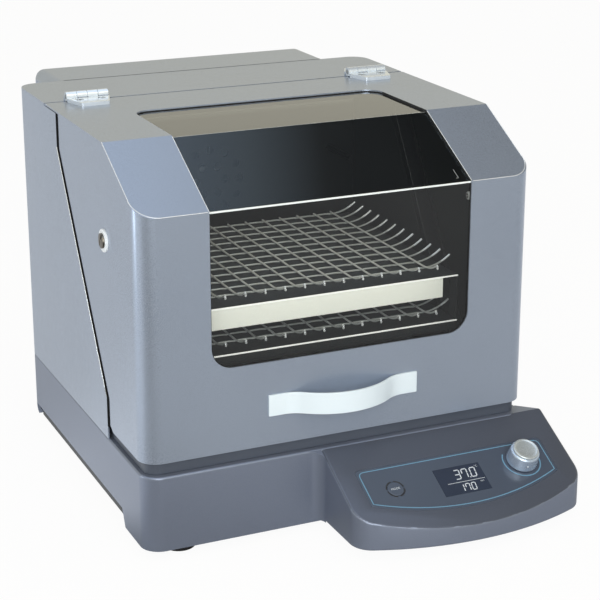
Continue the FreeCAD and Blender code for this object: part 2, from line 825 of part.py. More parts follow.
fan_motor = rod_y(0, rear_y, rear_y + fan_motor_length, fan_height, fan_motor_diameter)
fan_motor = fan_motor.cut(rod_y(0, rear_y - 1, rear_y + fan_shaft_grip + 1, fan_height,
                                fan_shaft + 2 * running_clearance))
save("fan_motor", fan_motor)


def heater_ring():
    y = (fan_front_y + fan_back_y) / 2
    start = math.radians(90 + heater_spread_deg)
    end = math.radians(450 - heater_spread_deg)
    points = [V(heater_radius * math.cos(a), y, fan_height - heater_radius * math.sin(a))
              for a in (start, (start + end) / 2, end)]
    arc = Part.Arc(*points).toShape()
    tangent = arc.tangentAt(arc.FirstParameter)
    circle = Part.Wire([Part.Circle(points[0], tangent, heater_tube / 2).toShape()])
    loop = Part.Wire([arc]).makePipeShell([circle], True, True)
    tails = [rod_y(p.x, y, rear_y + heater_tail, p.z, heater_tube) for p in (points[0], points[2])]
    return joined(loop, *tails)


save("heater_ring", heater_ring())
save("temperature_probe", rod_y(probe_x, baffle_y - probe_length, baffle_y + liner, probe_height,
                                probe_diameter))

# Plinth under the hood, and the pan that floors the chamber
plinth = prism_z([(-half + plinth_inset, hood_front_y + plinth_inset, corner_radius - plinth_inset),
                  (half - plinth_inset, hood_front_y + plinth_inset, corner_radius - plinth_inset),
                  (half - plinth_inset, rear_y - plinth_inset, corner_radius - plinth_inset),
                  (-half + plinth_inset, rear_y - plinth_inset, corner_radius - plinth_inset)],
                 base_top_z, plinth_top_z)
plinth_in = plinth_inset + plinth_wall
deck_x = half - plinth_in
deck_y0, deck_y1 = hood_front_y + plinth_in, rear_y - plinth_in
plinth = plinth.cut(box(-deck_x, deck_x, deck_y0, deck_y1, base_top_z - 1, plinth_top_z + 1))
save("plinth_frame", plinth)

crank_y = table_centre_y - crank_front_offset + orbit
idler_y = table_centre_y + idler_rear_offset + orbit
crank_places = [(0.0, crank_y), (-idler_half, idler_y), (idler_half, idler_y)]
journal_hole = journal + 2 * journal_clearance
pan_front_y = hood_front_y + pan_inset
pan_rear_y = baffle_y - cove_radius - ledge_depth
pan = box(-inner_half, inner_half, pan_front_y, pan_rear_y, plinth_top_z, pan_top_z)
pan = pan.cut(box(-inner_half + liner, inner_half - liner, pan_front_y + liner, pan_rear_y - liner,
                  plinth_top_z - 1, pan_top_z - liner))
rear_pan = box(-inner_half, inner_half, pan_rear_y, pan_rear_y + 2 * liner, pan_top_z - liner, pan_top_z)
pan = joined(pan, rear_pan)
deck = box(-deck_x + screw_clearance, deck_x - screw_clearance, deck_y0 + screw_clearance,
           deck_y1 - screw_clearance, base_top_z, deck_top_z)
for x, y in crank_places:
    pan = pan.cut(rod(x, y, plinth_top_z, pan_top_z + 1, journal_hole))
    deck = deck.cut(rod(x, y, base_top_z - 1, deck_top_z + 1, journal_hole))
save("floor_pan", pan)
save("drive_deck", deck)

# Orbit drive: bearing housings, a driven crank with pulley and counterweight, and two idlers
housing_top_z = deck_top_z + housing_rise
web_z = pan_top_z + web_lift
pin_top_z = table_height + table_thickness
pulley_top_z = base_top_z - pulley_drop
pulley_z = pulley_top_z - pulley_height
save("bearing_housings", *[
    joined(rod(x, y, deck_top_z, deck_top_z + housing_flange_height, housing_flange),
           rod(x, y, deck_top_z, housing_top_z, housing_barrel)).cut(
        rod(x, y, deck_top_z - 1, housing_top_z + 1, journal + 2 * running_clearance))
    for x, y in crank_places])


def pulley(x, y, diameter):
    body = rod(x, y, pulley_z, pulley_top_z, diameter)
    groove_z = pulley_z + (pulley_height - groove_height) / 2
    return body.cut(ring(x, y, groove_z, groove_z + groove_height, diameter + 2, diameter - 2 * groove_depth))


def crank(x, y, low_z):
    web = rod(x, y - orbit / 2, web_z, web_z + web_thickness, web_diameter)
    return joined(rod(x, y, low_z, web_z, journal), web,
                  rod(x, y - orbit, web_z + web_thickness, pin_top_z, crank_pin))


counterweight = Part.makeCylinder(counterweight_radius, web_thickness, V(0, crank_y, web_z), V(0, 0, 1), 180)
save("drive_crank", joined(crank(0.0, crank_y, pulley_z), pulley(0.0, crank_y, pulley_diameter), counterweight))
for name, (x, y) in zip(("idler_crank_left", "idler_crank_right"), crank_places[1:]):
    save(name, crank(x, y, deck_top_z))

motor_x = -motor_offset
motor_low_z = bottom_pan_z + pan_sheet
motor_top_z = motor_low_z + motor_height
motor_body = rod(motor_x, crank_y, motor_low_z, motor_top_z, motor_diameter)
motor_body = motor_body.cut(rod(motor_x, crank_y, motor_top_z - motor_height / 2, motor_top_z + 1,
                                motor_shaft + 2 * running_clearance))
save("drive_motor", motor_body)
save("motor_pulley", joined(pulley(motor_x, crank_y, motor_pulley_diameter),
                            rod(motor_x, crank_y, motor_top_z - motor_height / 3, pulley_z, motor_shaft)))


def belt_outline(swell):
    # Two arcs joined by the outer tangents of the pulleys' groove floors
    r0 = pulley_diameter / 2 - groove_depth + swell
    r1 = motor_pulley_diameter / 2 - groove_depth + swell
    lean = math.asin((r0 - r1) / motor_offset)
    z = pulley_z + (pulley_height - groove_height) / 2 + belt_clearance

    def on(cx, r, angle):
        return V(cx + r * math.cos(angle), crank_y + r * math.sin(angle), z)

    up = math.pi / 2 + lean
    a0, a1 = on(0, r0, up), on(0, r0, -up)
    b0, b1 = on(motor_x, r1, up), on(motor_x, r1, -up)
    edges = [Part.Arc(a0, on(0, r0, 0), a1).toShape(), Part.LineSegment(a1, b1).toShape(),
             Part.Arc(b1, on(motor_x, r1, math.pi), b0).toShape(), Part.LineSegment(b0, a0).toShape()]
    face = Part.Face(Part.Wire(edges))
    return face.extrude(V(0, 0, groove_height - 2 * belt_clearance))


save("drive_belt", belt_outline(belt_clearance + belt_thickness).cut(belt_outline(belt_clearance)))

# Orbiting table, its bushes, the two platforms, the ivory rail and the wire trays
pin_places = [(x, y - orbit) for x, y in crank_places]
bush_outer = crank_pin + 2 * bush_wall
table_front_y, table_rear_y = table_centre_y - table_depth / 2, table_centre_y + table_depth / 2
table = box(-table_half, table_half, table_front_y, table_rear_y, table_height, table_height + table_thickness)
bushes = []
for x, y in pin_places:
    table = table.cut(rod(x, y, table_height - 1, pin_top_z + 1, bush_outer))
    bushes.append(ring(x, y, table_height, pin_top_z, bush_outer, crank_pin + 2 * running_clearance))
save("orbit_table", table)
save("table_bushes", *bushes)


def platform(top):
    return box(-platform_half, platform_half, platform_front, platform_rear, top - platform_sheet, top)


def lower_platform():
    plate = platform(lower_platform_height)
    low = lower_platform_height - platform_lip
    front = box(-platform_half, platform_half, platform_front, platform_front + platform_sheet, low,
                lower_platform_height)
    rear = box(-platform_half, platform_half, platform_rear - platform_sheet, platform_rear, low,
               lower_platform_height)
    legs = [rod(sx * (table_half - platform_leg), table_centre_y + sy * (table_depth / 2 - platform_leg),
                pin_top_z, lower_platform_height - platform_sheet, platform_leg)
            for sx in (-1, 1) for sy in (-1, 1)]
    return joined(plate, front, rear, *legs)


def upper_platform():
    posts = []
    for x0 in (-platform_half, platform_half - platform_sheet):
        for y0 in (platform_front, platform_rear - post_setback - post_width):
            posts.append(box(x0, x0 + platform_sheet, y0, y0 + post_width, lower_platform_height,
                             upper_platform_height))
    return joined(platform(upper_platform_height), *posts)


save("lower_platform", lower_platform())
save("upper_platform", upper_platform())
rail_top_z = upper_platform_height - platform_sheet
save("tray_front_rail", box(-rail_half, rail_half, platform_front, platform_front + rail_depth,
                            rail_top_z - rail_height, rail_top_z))

tray_xs = [k * tray_pitch_x for k in range(-tray_side_count, tray_side_count + 1)]
tray_ys = [tray_first_y + k * tray_pitch_y for k in range(tray_cross_count)]


def tray_bar(start, first, last, end=None):
    # A straight wire whose ends curl up along tangent arcs; without an end point it stops straight
    def curl(base, tip):
        flat = V(tip.x - base.x, tip.y - base.y, 0)
        run, rise = flat.Length, tip.z - base.z
        radius = (run * run + rise * rise) / (2 * rise)
        half_turn = math.asin(run / radius) / 2
        way = flat * (1 / run)
        middle = base + way * (radius * math.sin(half_turn)) + V(0, 0, radius * (1 - math.cos(half_turn)))
        return middle

    pieces = [Part.Arc(start, curl(first, start), first).toShape(), Part.LineSegment(first, last).toShape()]
    if end:
        pieces.append(Part.Arc(last, curl(last, end), end).toShape())
    path = Part.Wire(pieces)
    edge = path.Edges[0]
    tangent = edge.tangentAt(edge.FirstParameter)
    section = Part.Wire([Part.Circle(start, tangent, tray_wire / 2).toShape()])
    return path.makePipeShell([section], True, True)


def wire_tray(plate_z):
    low = plate_z + tray_layer_gap + tray_wire / 2
    high = low + tray_wire + tray_layer_gap
    x_end, y0, y1 = tray_xs[-1], tray_ys[0], tray_ys[-1]
    bars = []
    for y in tray_ys:
        tip = x_end + tray_tip_run
        bars.append(tray_bar(V(-tip, y, low + tray_tip_rise), V(-x_end, y, low), V(x_end, y, low),
                             V(tip, y, low + tray_tip_rise)))
    for x in tray_xs:
        tail = high + tray_tail_rise
        bars.append(tray_bar(V(x, y0 - tray_tail_run, tail), V(x, y0, high), V(x, y1 + tray_wire / 2, high)))
    return bars


save("lower_tray", *wire_tray(lower_platform_height))
save("upper_tray", *wire_tray(upper_platform_height))


# Base housing with the control pod
slope = math.radians(pod_slope)
slope_top_y = base_front_y + base_edge_radius


def slope_z(y, depth):
    # Height of the pod's slope, sunk squarely by a depth
    return base_top_z + (y - slope_top_y) * math.tan(slope) - depth / math.cos(slope)


def base_outline(inset):
    x, r = half - inset, corner_radius - inset
    return [(-x, base_front_y + inset, r), (x, base_front_y + inset, r), (x, rear_y - inset, r),
            (-x, rear_y - inset, r)]


def pod_block(inset, low_z):
    left, right = pod_left + inset, pod_right - inset
    front = pod_front_y + inset
    shoulder = front + pod_bow
    back = base_front_y + corner_radius
    r = pod_corner_radius - inset
    # The bowed front meets both flanks in corner arcs
    chord = right - pod_middle_x
    bow_r = (chord * chord + pod_bow * pod_bow) / (2 * pod_bow)
    bow = Part.makeCylinder(bow_r, base_top_z, V(pod_middle_x, front + bow_r, low_z))
    fillet = pod_inner_fillet + inset
    flank = [(left, shoulder - pod_bow, 0), (right, shoulder - pod_bow, 0), (right, base_front_y, 0),
             (half - inset, back, 0), (left, back, 0)]
    block = prism_z(flank, low_z, base_top_z).common(bow)
    corner_edges = [e for e in block.Edges if abs(e.BoundBox.ZLength - (base_top_z - low_z)) < 1e-6
                    and e.BoundBox.YMax < base_front_y - pod_inner_fillet and e.BoundBox.XLength < 1e-6
                    and (abs(e.BoundBox.XMin - left) < 1e-3 or abs(e.BoundBox.XMin - right) < 1e-3)]
    block = block.makeFillet(r, corner_edges)
    web = box(left - fillet, left, base_front_y + inset - fillet, base_front_y + inset + 1, low_z, base_top_z)
    web = web.cut(rod(left - fillet, base_front_y + inset - fillet, low_z - 1, base_top_z + 1, 2 * fillet))
    return block, web


def sloped(shape, depth):
    y0, y1 = pod_front_y - pod_reach, slope_top_y
    far = base_front_y + 2 * corner_radius
    high = base_top_z + pod_reach
    level = slope_z(y1, depth)
    side = [(y0, slope_z(y0, depth)), (y1, level), (far, level), (far, high), (y0, high)]
    return shape.cut(prism_x(side, -body_width, body_width))


panel_y = slope_top_y - panel_centre_drop * math.cos(slope)
panel_place = FreeCAD.Placement(V(panel_centre_x, panel_y, slope_z(panel_y, 0)),
                                FreeCAD.Rotation(V(1, 0, 0), pod_slope))


def on_panel(shape):
    # Local X runs right, Y up the slope, Z out of the panel
    placed = shape.copy()
    placed.Placement = panel_place.multiply(placed.Placement)
    return placed


def fascia_solid(grow, z0, z1):
    w = fascia_half + grow
    up, down = fascia_up + grow, fascia_down + grow
    bow = fascia_bow
    bow_r = (w * w + bow * bow) / (2 * bow)
    slab = prism_z([(-w, -down - bow, 0), (w, -down - bow, 0), (w, up, fascia_radius), (-w, up, fascia_radius)],
                   z0, z1)
    return slab.common(Part.makeCylinder(bow_r, z1 - z0, V(0, -down - bow + bow_r, z0)))


button_at = (-control_spread, -button_drop)
knob_at = (control_spread, knob_rise)
button_hole = button_diameter + 2 * button_clearance


def lcd_block(grow, z0, z1):
    w, h = lcd_width / 2 + grow, lcd_height / 2 + grow
    return box(-w, w, -lcd_drop - h, -lcd_drop + h, z0, z1)


def base_housing():
    outer = prism_z(base_outline(0), base_z, base_top_z)
    rim = [e for e in outer.Edges if e.BoundBox.ZMin > base_top_z - 1e-6]
    outer = outer.makeFillet(base_edge_radius, rim)
    block, web = pod_block(0, base_z + pod_lift)
    block = sloped(block, 0)
    front_edges = [e for e in block.Edges if e.BoundBox.YMax < base_front_y - pod_inner_fillet
                   and e.BoundBox.ZMin > base_z + 1
                   and max(e.BoundBox.XLength, e.BoundBox.YLength) > 1e-6]
    block = block.makeFillet(pod_edge_radius, front_edges)
    outer = joined(outer, block, sloped(web, 0))
    cavity = prism_z(base_outline(base_wall), base_z - 1, base_top_z - base_wall)
    pod_cavity = pod_block(base_wall, base_z + pod_lift + base_wall)[0]
    cavity = joined(cavity, sloped(pod_cavity, base_wall))
    shell = outer.cut(cavity)
    margin = base_opening_margin
    shell = shell.cut(box(-half + margin, half - margin, base_front_y + margin, rear_y - margin,
                          base_top_z - 2 * base_wall, base_top_z + 1))
    y0, y1 = base_front_y + notch_front, rear_y - notch_rear
    z1 = base_z + notch_rise
    notch = [(y0 - notch_slant, base_z - 1), (y0, z1), (y1, z1), (y1 + notch_slant, base_z - 1)]
    shell = shell.cut(prism_x(notch, -half - 1, half + 1))
    pocket = on_panel(fascia_solid(screw_clearance, -fascia_thickness, base_wall))
    holes = [on_panel(lcd_block(screw_clearance, -3 * base_wall, base_wall)),
             on_panel(rod(*button_at, -3 * base_wall, base_wall, button_hole)),
             on_panel(rod(*knob_at, -3 * base_wall, base_wall, encoder_bush + 2 * screw_clearance))]
    shell = shell.cut([pocket] + holes)
    inlet_cut = box(inlet_x - inlet_width / 2 - screw_clearance, inlet_x + inlet_width / 2 + screw_clearance,
                    rear_y - 2 * base_wall, rear_y + 1, inlet_height - inlet_tall / 2 - screw_clearance,
                    inlet_height + inlet_tall / 2 + screw_clearance)
    return shell.cut(inlet_cut)


save("base_housing", base_housing())


def pan_plan(extra):
    x, r = half - pan_side_inset - extra, corner_radius - base_wall - extra
    inset = base_wall + screw_clearance + extra
    front, rear = base_front_y + inset, rear_y - inset
    return [(-x, front, r), (x, front, r), (x, rear, r), (-x, rear, r)]


bottom_pan = prism_z(pan_plan(0), bottom_pan_z, bottom_pan_z + pan_side_height)
bottom_pan = bottom_pan.cut(prism_z(pan_plan(pan_sheet), bottom_pan_z + pan_sheet, base_top_z))
save("bottom_pan", bottom_pan)
foot_places = [(sx * (half - foot_inset_x), y) for sx in (-1, 1)
               for y in (base_front_y + foot_inset_front, rear_y - foot_inset_rear)]
save("rubber_feet", *[rod(x, y, 0, bottom_pan_z, foot_diameter) for x, y in foot_places])
plate_screw_xs = (-half + 2 * corner_radius, 0.0, half - 2 * corner_radius)
plate_screw_ys = (base_front_y + base_depth / 3, rear_y - base_depth / 3)


def plate_screw(x, y):
    return rod(x, y, bottom_pan_z - screw_head_height, bottom_pan_z, screw_head)


save("cabinet_screws", *[leaf_screw(x, rear_screw_y) for x in hinge_screw_xs],
     *[plate_screw(x, y) for x in plate_screw_xs for y in plate_screw_ys])

# Panel: fascia, display, board, button and jog knob
fascia = fascia_solid(0, -fascia_thickness, 0)
fascia = fascia.cut([lcd_block(screw_clearance, -2, 1), rod(button_at[0], button_at[1], -2, 1, button_hole),
                     rod(knob_at[0], knob_at[1], -2, 1, encoder_bush + 2 * screw_clearance)])
save("panel_fascia", on_panel(fascia))
board_top = -board_depth
save("lcd_module", on_panel(lcd_block(0, board_top, 0)))
board_half = control_spread + encoder_side
board = box(-board_half, board_half, -lcd_height / 2 - 2 * lcd_drop, lcd_height / 2,
            board_top - board_thickness, board_top)
switch = box(button_at[0] - 3, button_at[0] + 3, button_at[1] - 3, button_at[1] + 3, board_top,
             board_top + tact_switch)
save("control_board", on_panel(joined(board, switch)))

button_low = board_top + tact_switch + button_travel + button_clearance
lip_top = -base_wall - button_clearance
lip_outer = button_diameter + 2 * button_lip
button = joined(rod(*button_at, lip_top - button_lip_height, button_proud, button_diameter),
                rod(*button_at, lip_top - button_lip_height, lip_top, lip_outer),
                rod(*button_at, button_low, lip_top, button_diameter / 3))
save("mode_button", on_panel(button))

encoder_top = -base_wall - 1.5
bush_top = knob_gap + knob_hollow_depth - 2 * button_travel
kx, ky = knob_at
encoder = joined(box(kx - encoder_side / 2, kx + encoder_side / 2, ky - encoder_side / 2, ky + encoder_side / 2,
                     board_top, encoder_top), rod(kx, ky, encoder_top, bush_top, encoder_bush))
encoder = encoder.cut(rod(kx, ky, encoder_top - 2, bush_top + 1, plunger_diameter + 2 * running_clearance))
save("encoder_body", on_panel(encoder))
plunger_low = encoder_top - 2 + 2 * button_travel
plunger_top = plunger_low + plunger_length
plunger = ring(kx, ky, plunger_low, plunger_top, plunger_diameter, shaft_diameter + 2 * running_clearance)
save("encoder_plunger", on_panel(plunger))
knob_top = knob_gap + knob_height
shaft_top = knob_top - 2.0
save("encoder_shaft", on_panel(rod(kx, ky, plunger_low, shaft_top, shaft_diameter)))
skirt = Part.makeCone(knob_base_diameter / 2, knob_top_diameter / 2, knob_height, V(kx, ky, knob_gap))
skirt = skirt.cut([rod(kx, ky, knob_gap - 1, knob_gap + knob_hollow_depth, knob_hollow),
                   rod(kx, ky, knob_gap - 1, shaft_top, shaft_diameter)])
save("knob_skirt", on_panel(skirt))
cap = rod(kx, ky, knob_top, knob_top + knob_cap_height, knob_cap_diameter)
dish_r = ((knob_cap_diameter / 2 - 3) ** 2 + knob_dish ** 2) / (2 * knob_dish)
cap = cap.cut(Part.makeSphere(dish_r, V(kx, ky, knob_top + knob_cap_height + dish_r - knob_dish)))
save("knob_cap", on_panel(cap))

# Power: rear inlet with socket and rocker, and the supply inside
inlet_face_y = rear_y + inlet_flange_thickness
inlet = box(inlet_x - inlet_width / 2, inlet_x + inlet_width / 2, rear_y - inlet_depth, rear_y,
            inlet_height - inlet_tall / 2, inlet_height + inlet_tall / 2)
flange_w, flange_h = inlet_width / 2 + inlet_flange, inlet_tall / 2 + inlet_flange
flange = box(inlet_x - flange_w, inlet_x + flange_w, rear_y, inlet_face_y, inlet_height - flange_h,
             inlet_height + flange_h)
socket_x = inlet_x + inlet_width / 2 - socket_width / 2 - inlet_flange
rocker_x = inlet_x - inlet_width / 2 + rocker_width / 2 + inlet_flange
socket = box(socket_x - socket_width / 2, socket_x + socket_width / 2, inlet_face_y - socket_depth,
             inlet_face_y + 1, inlet_height - socket_tall / 2, inlet_height + socket_tall / 2)
pins = [box(socket_x + dx - pin_width / 2, socket_x + dx + pin_width / 2, inlet_face_y - socket_depth - 1,
            inlet_face_y - pin_recess, inlet_height + dz - pin_tall / 2, inlet_height + dz + pin_tall / 2)
        for dx, dz in ((-pin_spread, -pin_drop), (0, pin_drop), (pin_spread, -pin_drop))]
rocker_y = inlet_face_y - rocker_radius / 2
rocker_room = rocker_radius + rocker_clearance
well_half = rocker_width / 2 + rocker_clearance
well = box(rocker_x - well_half, rocker_x + well_half, rocker_y - rocker_room, inlet_face_y + 1,
           inlet_height - rocker_room, inlet_height + rocker_room)
inlet = joined(joined(inlet, flange).cut([socket, well]), *pins)
pivot_half = well_half + inlet_flange / 2
pivot = rod_x(rocker_x - pivot_half, rocker_x + pivot_half, rocker_y, inlet_height, rocker_pivot)
rocker = rod_x(rocker_x - rocker_width / 2, rocker_x + rocker_width / 2, rocker_y, inlet_height,
               2 * rocker_radius)
for side in (-1, 1):
    face = box(rocker_x - rocker_width, rocker_x + rocker_width, rocker_radius / 2 + rocker_proud,
               3 * rocker_radius, -2 * rocker_radius, 2 * rocker_radius)
    face.rotate(V(rocker_x, 0, 0), V(1, 0, 0), side * rocker_tilt)
    face.translate(V(0, rocker_y, inlet_height))
    rocker = rocker.cut(face)
rocker.rotate(V(rocker_x, rocker_y, inlet_height), V(1, 0, 0), rocker_tilt)
rocker = rocker.cut(rod_x(rocker_x - rocker_width, rocker_x + rocker_width, rocker_y, inlet_height,
                          rocker_pivot + 2 * running_clearance))
save("power_inlet", joined(inlet, pivot))
save("power_rocker", rocker)
supply_z = bottom_pan_z + pan_sheet
save("power_supply", box(supply_x - supply_length / 2, supply_x + supply_length / 2,
                         supply_y - supply_width / 2, supply_y + supply_width / 2, supply_z,
                         supply_z + supply_height))
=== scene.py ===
import json
import math

import bmesh
import bpy
import numpy as np
from mathutils import Matrix, Vector

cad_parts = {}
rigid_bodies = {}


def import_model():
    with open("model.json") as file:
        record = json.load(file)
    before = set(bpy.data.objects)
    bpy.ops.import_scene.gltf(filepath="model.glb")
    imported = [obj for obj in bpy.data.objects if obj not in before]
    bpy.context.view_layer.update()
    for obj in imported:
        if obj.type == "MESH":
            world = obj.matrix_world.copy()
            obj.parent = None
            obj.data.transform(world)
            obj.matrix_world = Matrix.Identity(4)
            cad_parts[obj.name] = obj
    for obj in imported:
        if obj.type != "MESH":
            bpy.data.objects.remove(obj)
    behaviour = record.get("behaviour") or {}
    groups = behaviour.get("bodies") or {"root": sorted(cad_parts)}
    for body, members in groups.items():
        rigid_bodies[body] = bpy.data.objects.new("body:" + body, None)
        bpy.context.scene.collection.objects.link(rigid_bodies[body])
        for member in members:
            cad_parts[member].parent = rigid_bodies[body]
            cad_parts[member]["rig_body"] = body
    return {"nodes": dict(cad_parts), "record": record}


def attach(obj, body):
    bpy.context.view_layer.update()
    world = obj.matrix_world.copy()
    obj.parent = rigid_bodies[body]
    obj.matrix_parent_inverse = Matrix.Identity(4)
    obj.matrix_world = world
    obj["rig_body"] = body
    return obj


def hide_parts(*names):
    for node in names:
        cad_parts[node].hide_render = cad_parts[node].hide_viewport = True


# Benchtop shaking incubator: finishes, small hardware, trays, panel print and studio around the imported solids
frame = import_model()
scene = bpy.context.scene
link = scene.collection.objects.link
cadNodes = frame["nodes"]
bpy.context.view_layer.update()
slotOf = {part["node"]: part["material_slot"] for part in frame["record"]["subparts"]}
mm = 0.001
middle = np.array([-8.0, 3.25, 0.0])  # the hood's middle line in the frame; pieces are drawn about it
print("frame loaded: %d nodes" % len(cadNodes))


# Shader expressions
class Shade:
    # One socket of a node tree; operators on values add Math nodes
    def __init__(self, tree, socket=None):
        self.tree = tree
        self.socket = socket

    def node(self, kind, settings=None, inputs=None, out=0):
        # Any node: its type, its settings first, then the values or links of its sockets
        made = self.tree.nodes.new("ShaderNode" + kind)
        for key, value in (settings or {}).items():
            if key == "stops":
                elements = made.color_ramp.elements
                while len(elements) < len(value):
                    elements.new(1.0)
                for element, (position, colour) in zip(elements, value):
                    element.position = position
                    element.color = colour
            else:
                setattr(made, key, value)
        for key, value in (inputs or {}).items():
            if isinstance(value, Shade):
                self.tree.links.new(value.socket, made.inputs[key])
            else:
                made.inputs[key].default_value = value
        return Shade(self.tree, made.outputs[out] if len(made.outputs) else None)

    def maths(self, operation, first, second):
        return self.node("Math", {"operation": operation}, {0: first, 1: second})

    def __add__(self, other):
        return self.maths("ADD", self, other)

    def __radd__(self, other):
        return self.maths("ADD", other, self)

    def __sub__(self, other):
        return self.maths("SUBTRACT", self, other)

    def __mul__(self, other):
        return self.maths("MULTIPLY", self, other)

    def __rmul__(self, other):
        return self.maths("MULTIPLY", other, self)

    def __pow__(self, other):
        return self.maths("POWER", self, other)

    def between(self, low, high):
        # Two colours mixed by this value
        return self.node("Mix", {"data_type": "RGBA"}, {0: self, 6: low, 7: high}, 2)

    def bumped(self, strength, distance):
        return self.node("Bump", {}, {"Strength": strength, "Distance": distance, "Height": self})


def tone(red, green, blue):
    # An sRGB colour, 0 to 255, as the linear colour that a socket takes
    value = np.array([red, green, blue]) / 255.0
    linear = np.where(value <= 0.04045, value / 12.92, ((value + 0.055) / 1.055) ** 2.4)
    return (*linear.tolist(), 1.0)


plainWhite = (1.0, 1.0, 1.0, 1.0)


def finish(name, surfaceOf):
    made = bpy.data.materials.new(name)
    made.use_nodes = True
    made.node_tree.nodes.clear()
    start = Shade(made.node_tree)
    start.node("OutputMaterial", {}, {"Surface": surfaceOf(start)})
    return made


def speckle(start, scale, detail=2.0, stretch=None):
    # Noise on Object coordinates, stretched along an axis where asked
    place = start.node("TexCoord", out="Object")
    if stretch:
        place = start.node("Mapping", {}, {"Vector": place, "Scale": stretch})
    return start.node("TexNoise", {}, {"Vector": place, "Scale": scale, "Detail": detail})


# Fixed shares of each finish: how far its noise moves the gloss, and the height of its bump in metres
satin = {"driftGloss": 0.06, "flakeGloss": 0.08, "coatRough": 0.12, "peelHeight": 0.0004}
moulded = {"grainGloss": 0.12, "grainHeight": 0.0003}
drawn = {"stainScale": 22.0, "stain": 0.35, "lineGloss": 0.16, "stainGloss": 0.06, "lineHeight": 0.0002}
clear = {"dustScale": 160.0, "rise": 5.0}
printed = {"mottleScale": 900.0, "dim": 0.82, "rough": 0.4, "mottleGloss": 0.1}
wool = {"dark": tone(150, 140, 110), "light": tone(214, 205, 176), "fibreScale": 500.0, "clumpScale": 60.0,
        "stretch": (1.0, 0.15, 1.0), "rough": 0.95, "bump": 0.6, "height": 0.001}


def satinPaint(name, look):
    # Flaked satin paint: flake and a slow drift move the tone and the gloss, orange peel moves the normal
    def surfaceOf(start):
        flake = speckle(start, look["flakeScale"], 1.0)
        drift = speckle(start, look["driftScale"])
        tint = 0.5 + (flake - 0.5) * look["flake"] + (drift - 0.5) * look["drift"]
        rough = look["rough"] + (drift - 0.5) * satin["driftGloss"] + (flake - 0.5) * satin["flakeGloss"]
        return start.node("BsdfPrincipled", {}, {
            "Base Color": tint.between(look["dark"], look["light"]), "Metallic": look["metal"],
            "Roughness": rough, "Coat Weight": look["coat"], "Coat Roughness": satin["coatRough"],
            "Normal": speckle(start, look["peelScale"]).bumped(look["peel"], satin["peelHeight"])})
    return finish(name, surfaceOf)


def mouldedPlastic(name, look):
    # Moulded skin: fine leather-like grain in the bump and the gloss, a little cloud in the tone
    def surfaceOf(start):
        cloud = speckle(start, look["cloudScale"])
        grain = speckle(start, look["grainScale"], 3.0)
        tint = 0.5 + (cloud - 0.5) * look["cloud"] + (grain - 0.5) * look["grainTone"]
        return start.node("BsdfPrincipled", {}, {
            "Base Color": tint.between(look["dark"], look["light"]), "Metallic": look["metal"],
            "Roughness": look["rough"] + (grain - 0.5) * moulded["grainGloss"],
            "Specular IOR Level": look["mirror"],
            "Normal": grain.bumped(look["grain"], moulded["grainHeight"])})
    return finish(name, surfaceOf)


def chamberSheet(name, look):
    # Dark sheet that pales towards the ceiling: painted light, where the light from above would lie on it
    def surfaceOf(start):
        level = start.node("SeparateXYZ", {}, {"Vector": start.node("TexCoord", out="Object")}, "Z")
        ends = {0: level, 1: look["from"], 2: look["to"]}
        pale = start.node("MapRange", {"interpolation_type": "SMOOTHSTEP"}, ends)
        grain = speckle(start, look["grainScale"], 3.0)
        tint = grain.between(look["dark"], look["light"])
        return start.node("BsdfPrincipled", {}, {
            "Base Color": pale.between(tint, look["pale"]),
            "Roughness": look["rough"] + (grain - 0.5) * look["grainGloss"],
            "Specular IOR Level": look["mirror"],
            "Normal": grain.bumped(look["grain"], moulded["grainHeight"])})
    return finish(name, surfaceOf)


def workedMetal(name, look):
    # Bare metal with drawn lines along one axis, in the gloss, the tone and the bump
    def surfaceOf(start):
        lines = speckle(start, look["lineScale"], 2.0, look["stretch"])
        stain = speckle(start, drawn["stainScale"])
        tint = 0.5 + (lines - 0.5) * look["lines"] + (stain - 0.5) * drawn["stain"]
        rough = look["rough"] + (lines - 0.5) * drawn["lineGloss"] + (stain - 0.5) * drawn["stainGloss"]
        return start.node("BsdfPrincipled", {}, {
            "Base Color": tint.between(look["dark"], look["light"]), "Metallic": 1.0, "Roughness": rough,
            "Normal": lines.bumped(look["depth"], drawn["lineHeight"])})
    return finish(name, surfaceOf)


def clearSheet(name, look):
    # A clear pane: see-through, with gloss that rises as 1 - cosine to the fifth, and faint dust in the gloss
    def surfaceOf(start):
        edgeOn = start.node("LayerWeight", {}, {"Blend": 0.5}, "Facing")
        dust = speckle(start, clear["dustScale"], 4.0)
        share = look["plain"] + edgeOn ** clear["rise"] * look["edge"] + (dust - 0.5) * look["dust"]
        through = start.node("BsdfTransparent", {}, {"Color": look["tint"]})
        gloss = start.node("BsdfAnisotropic", {}, {"Color": look["gloss"], "Roughness": look["rough"]})
        return start.node("MixShader", {}, {0: share, 1: through, 2: gloss})
    return finish(name, surfaceOf)


def printedInk(name, colour, glow):
    # Screen ink or a lit segment, with a slight mottle and an even glow; where the part is no lamp, the glow is
    # painted light
    def surfaceOf(start):
        mottle = speckle(start, printed["mottleScale"])
        dim = tuple(printed["dim"] * part for part in colour[:3]) + (1.0,)
        ink = mottle.between(dim, colour)
        return start.node("BsdfPrincipled", {}, {
            "Base Color": ink, "Roughness": printed["rough"] + (mottle - 0.5) * printed["mottleGloss"],
            "Emission Color": ink, "Emission Strength": glow})
    return finish(name, surfaceOf)


def fibreMat(name):
    # Mineral wool: long thin fibres over soft clumps
    def surfaceOf(start):
        fibre = speckle(start, wool["fibreScale"], 3.0, wool["stretch"])
        clump = speckle(start, wool["clumpScale"])
        tint = 0.5 * fibre + 0.5 * clump
        return start.node("BsdfPrincipled", {}, {
            "Base Color": tint.between(wool["dark"], wool["light"]), "Roughness": wool["rough"],
            "Normal": tint.bumped(wool["bump"], wool["height"])})
    return finish(name, surfaceOf)


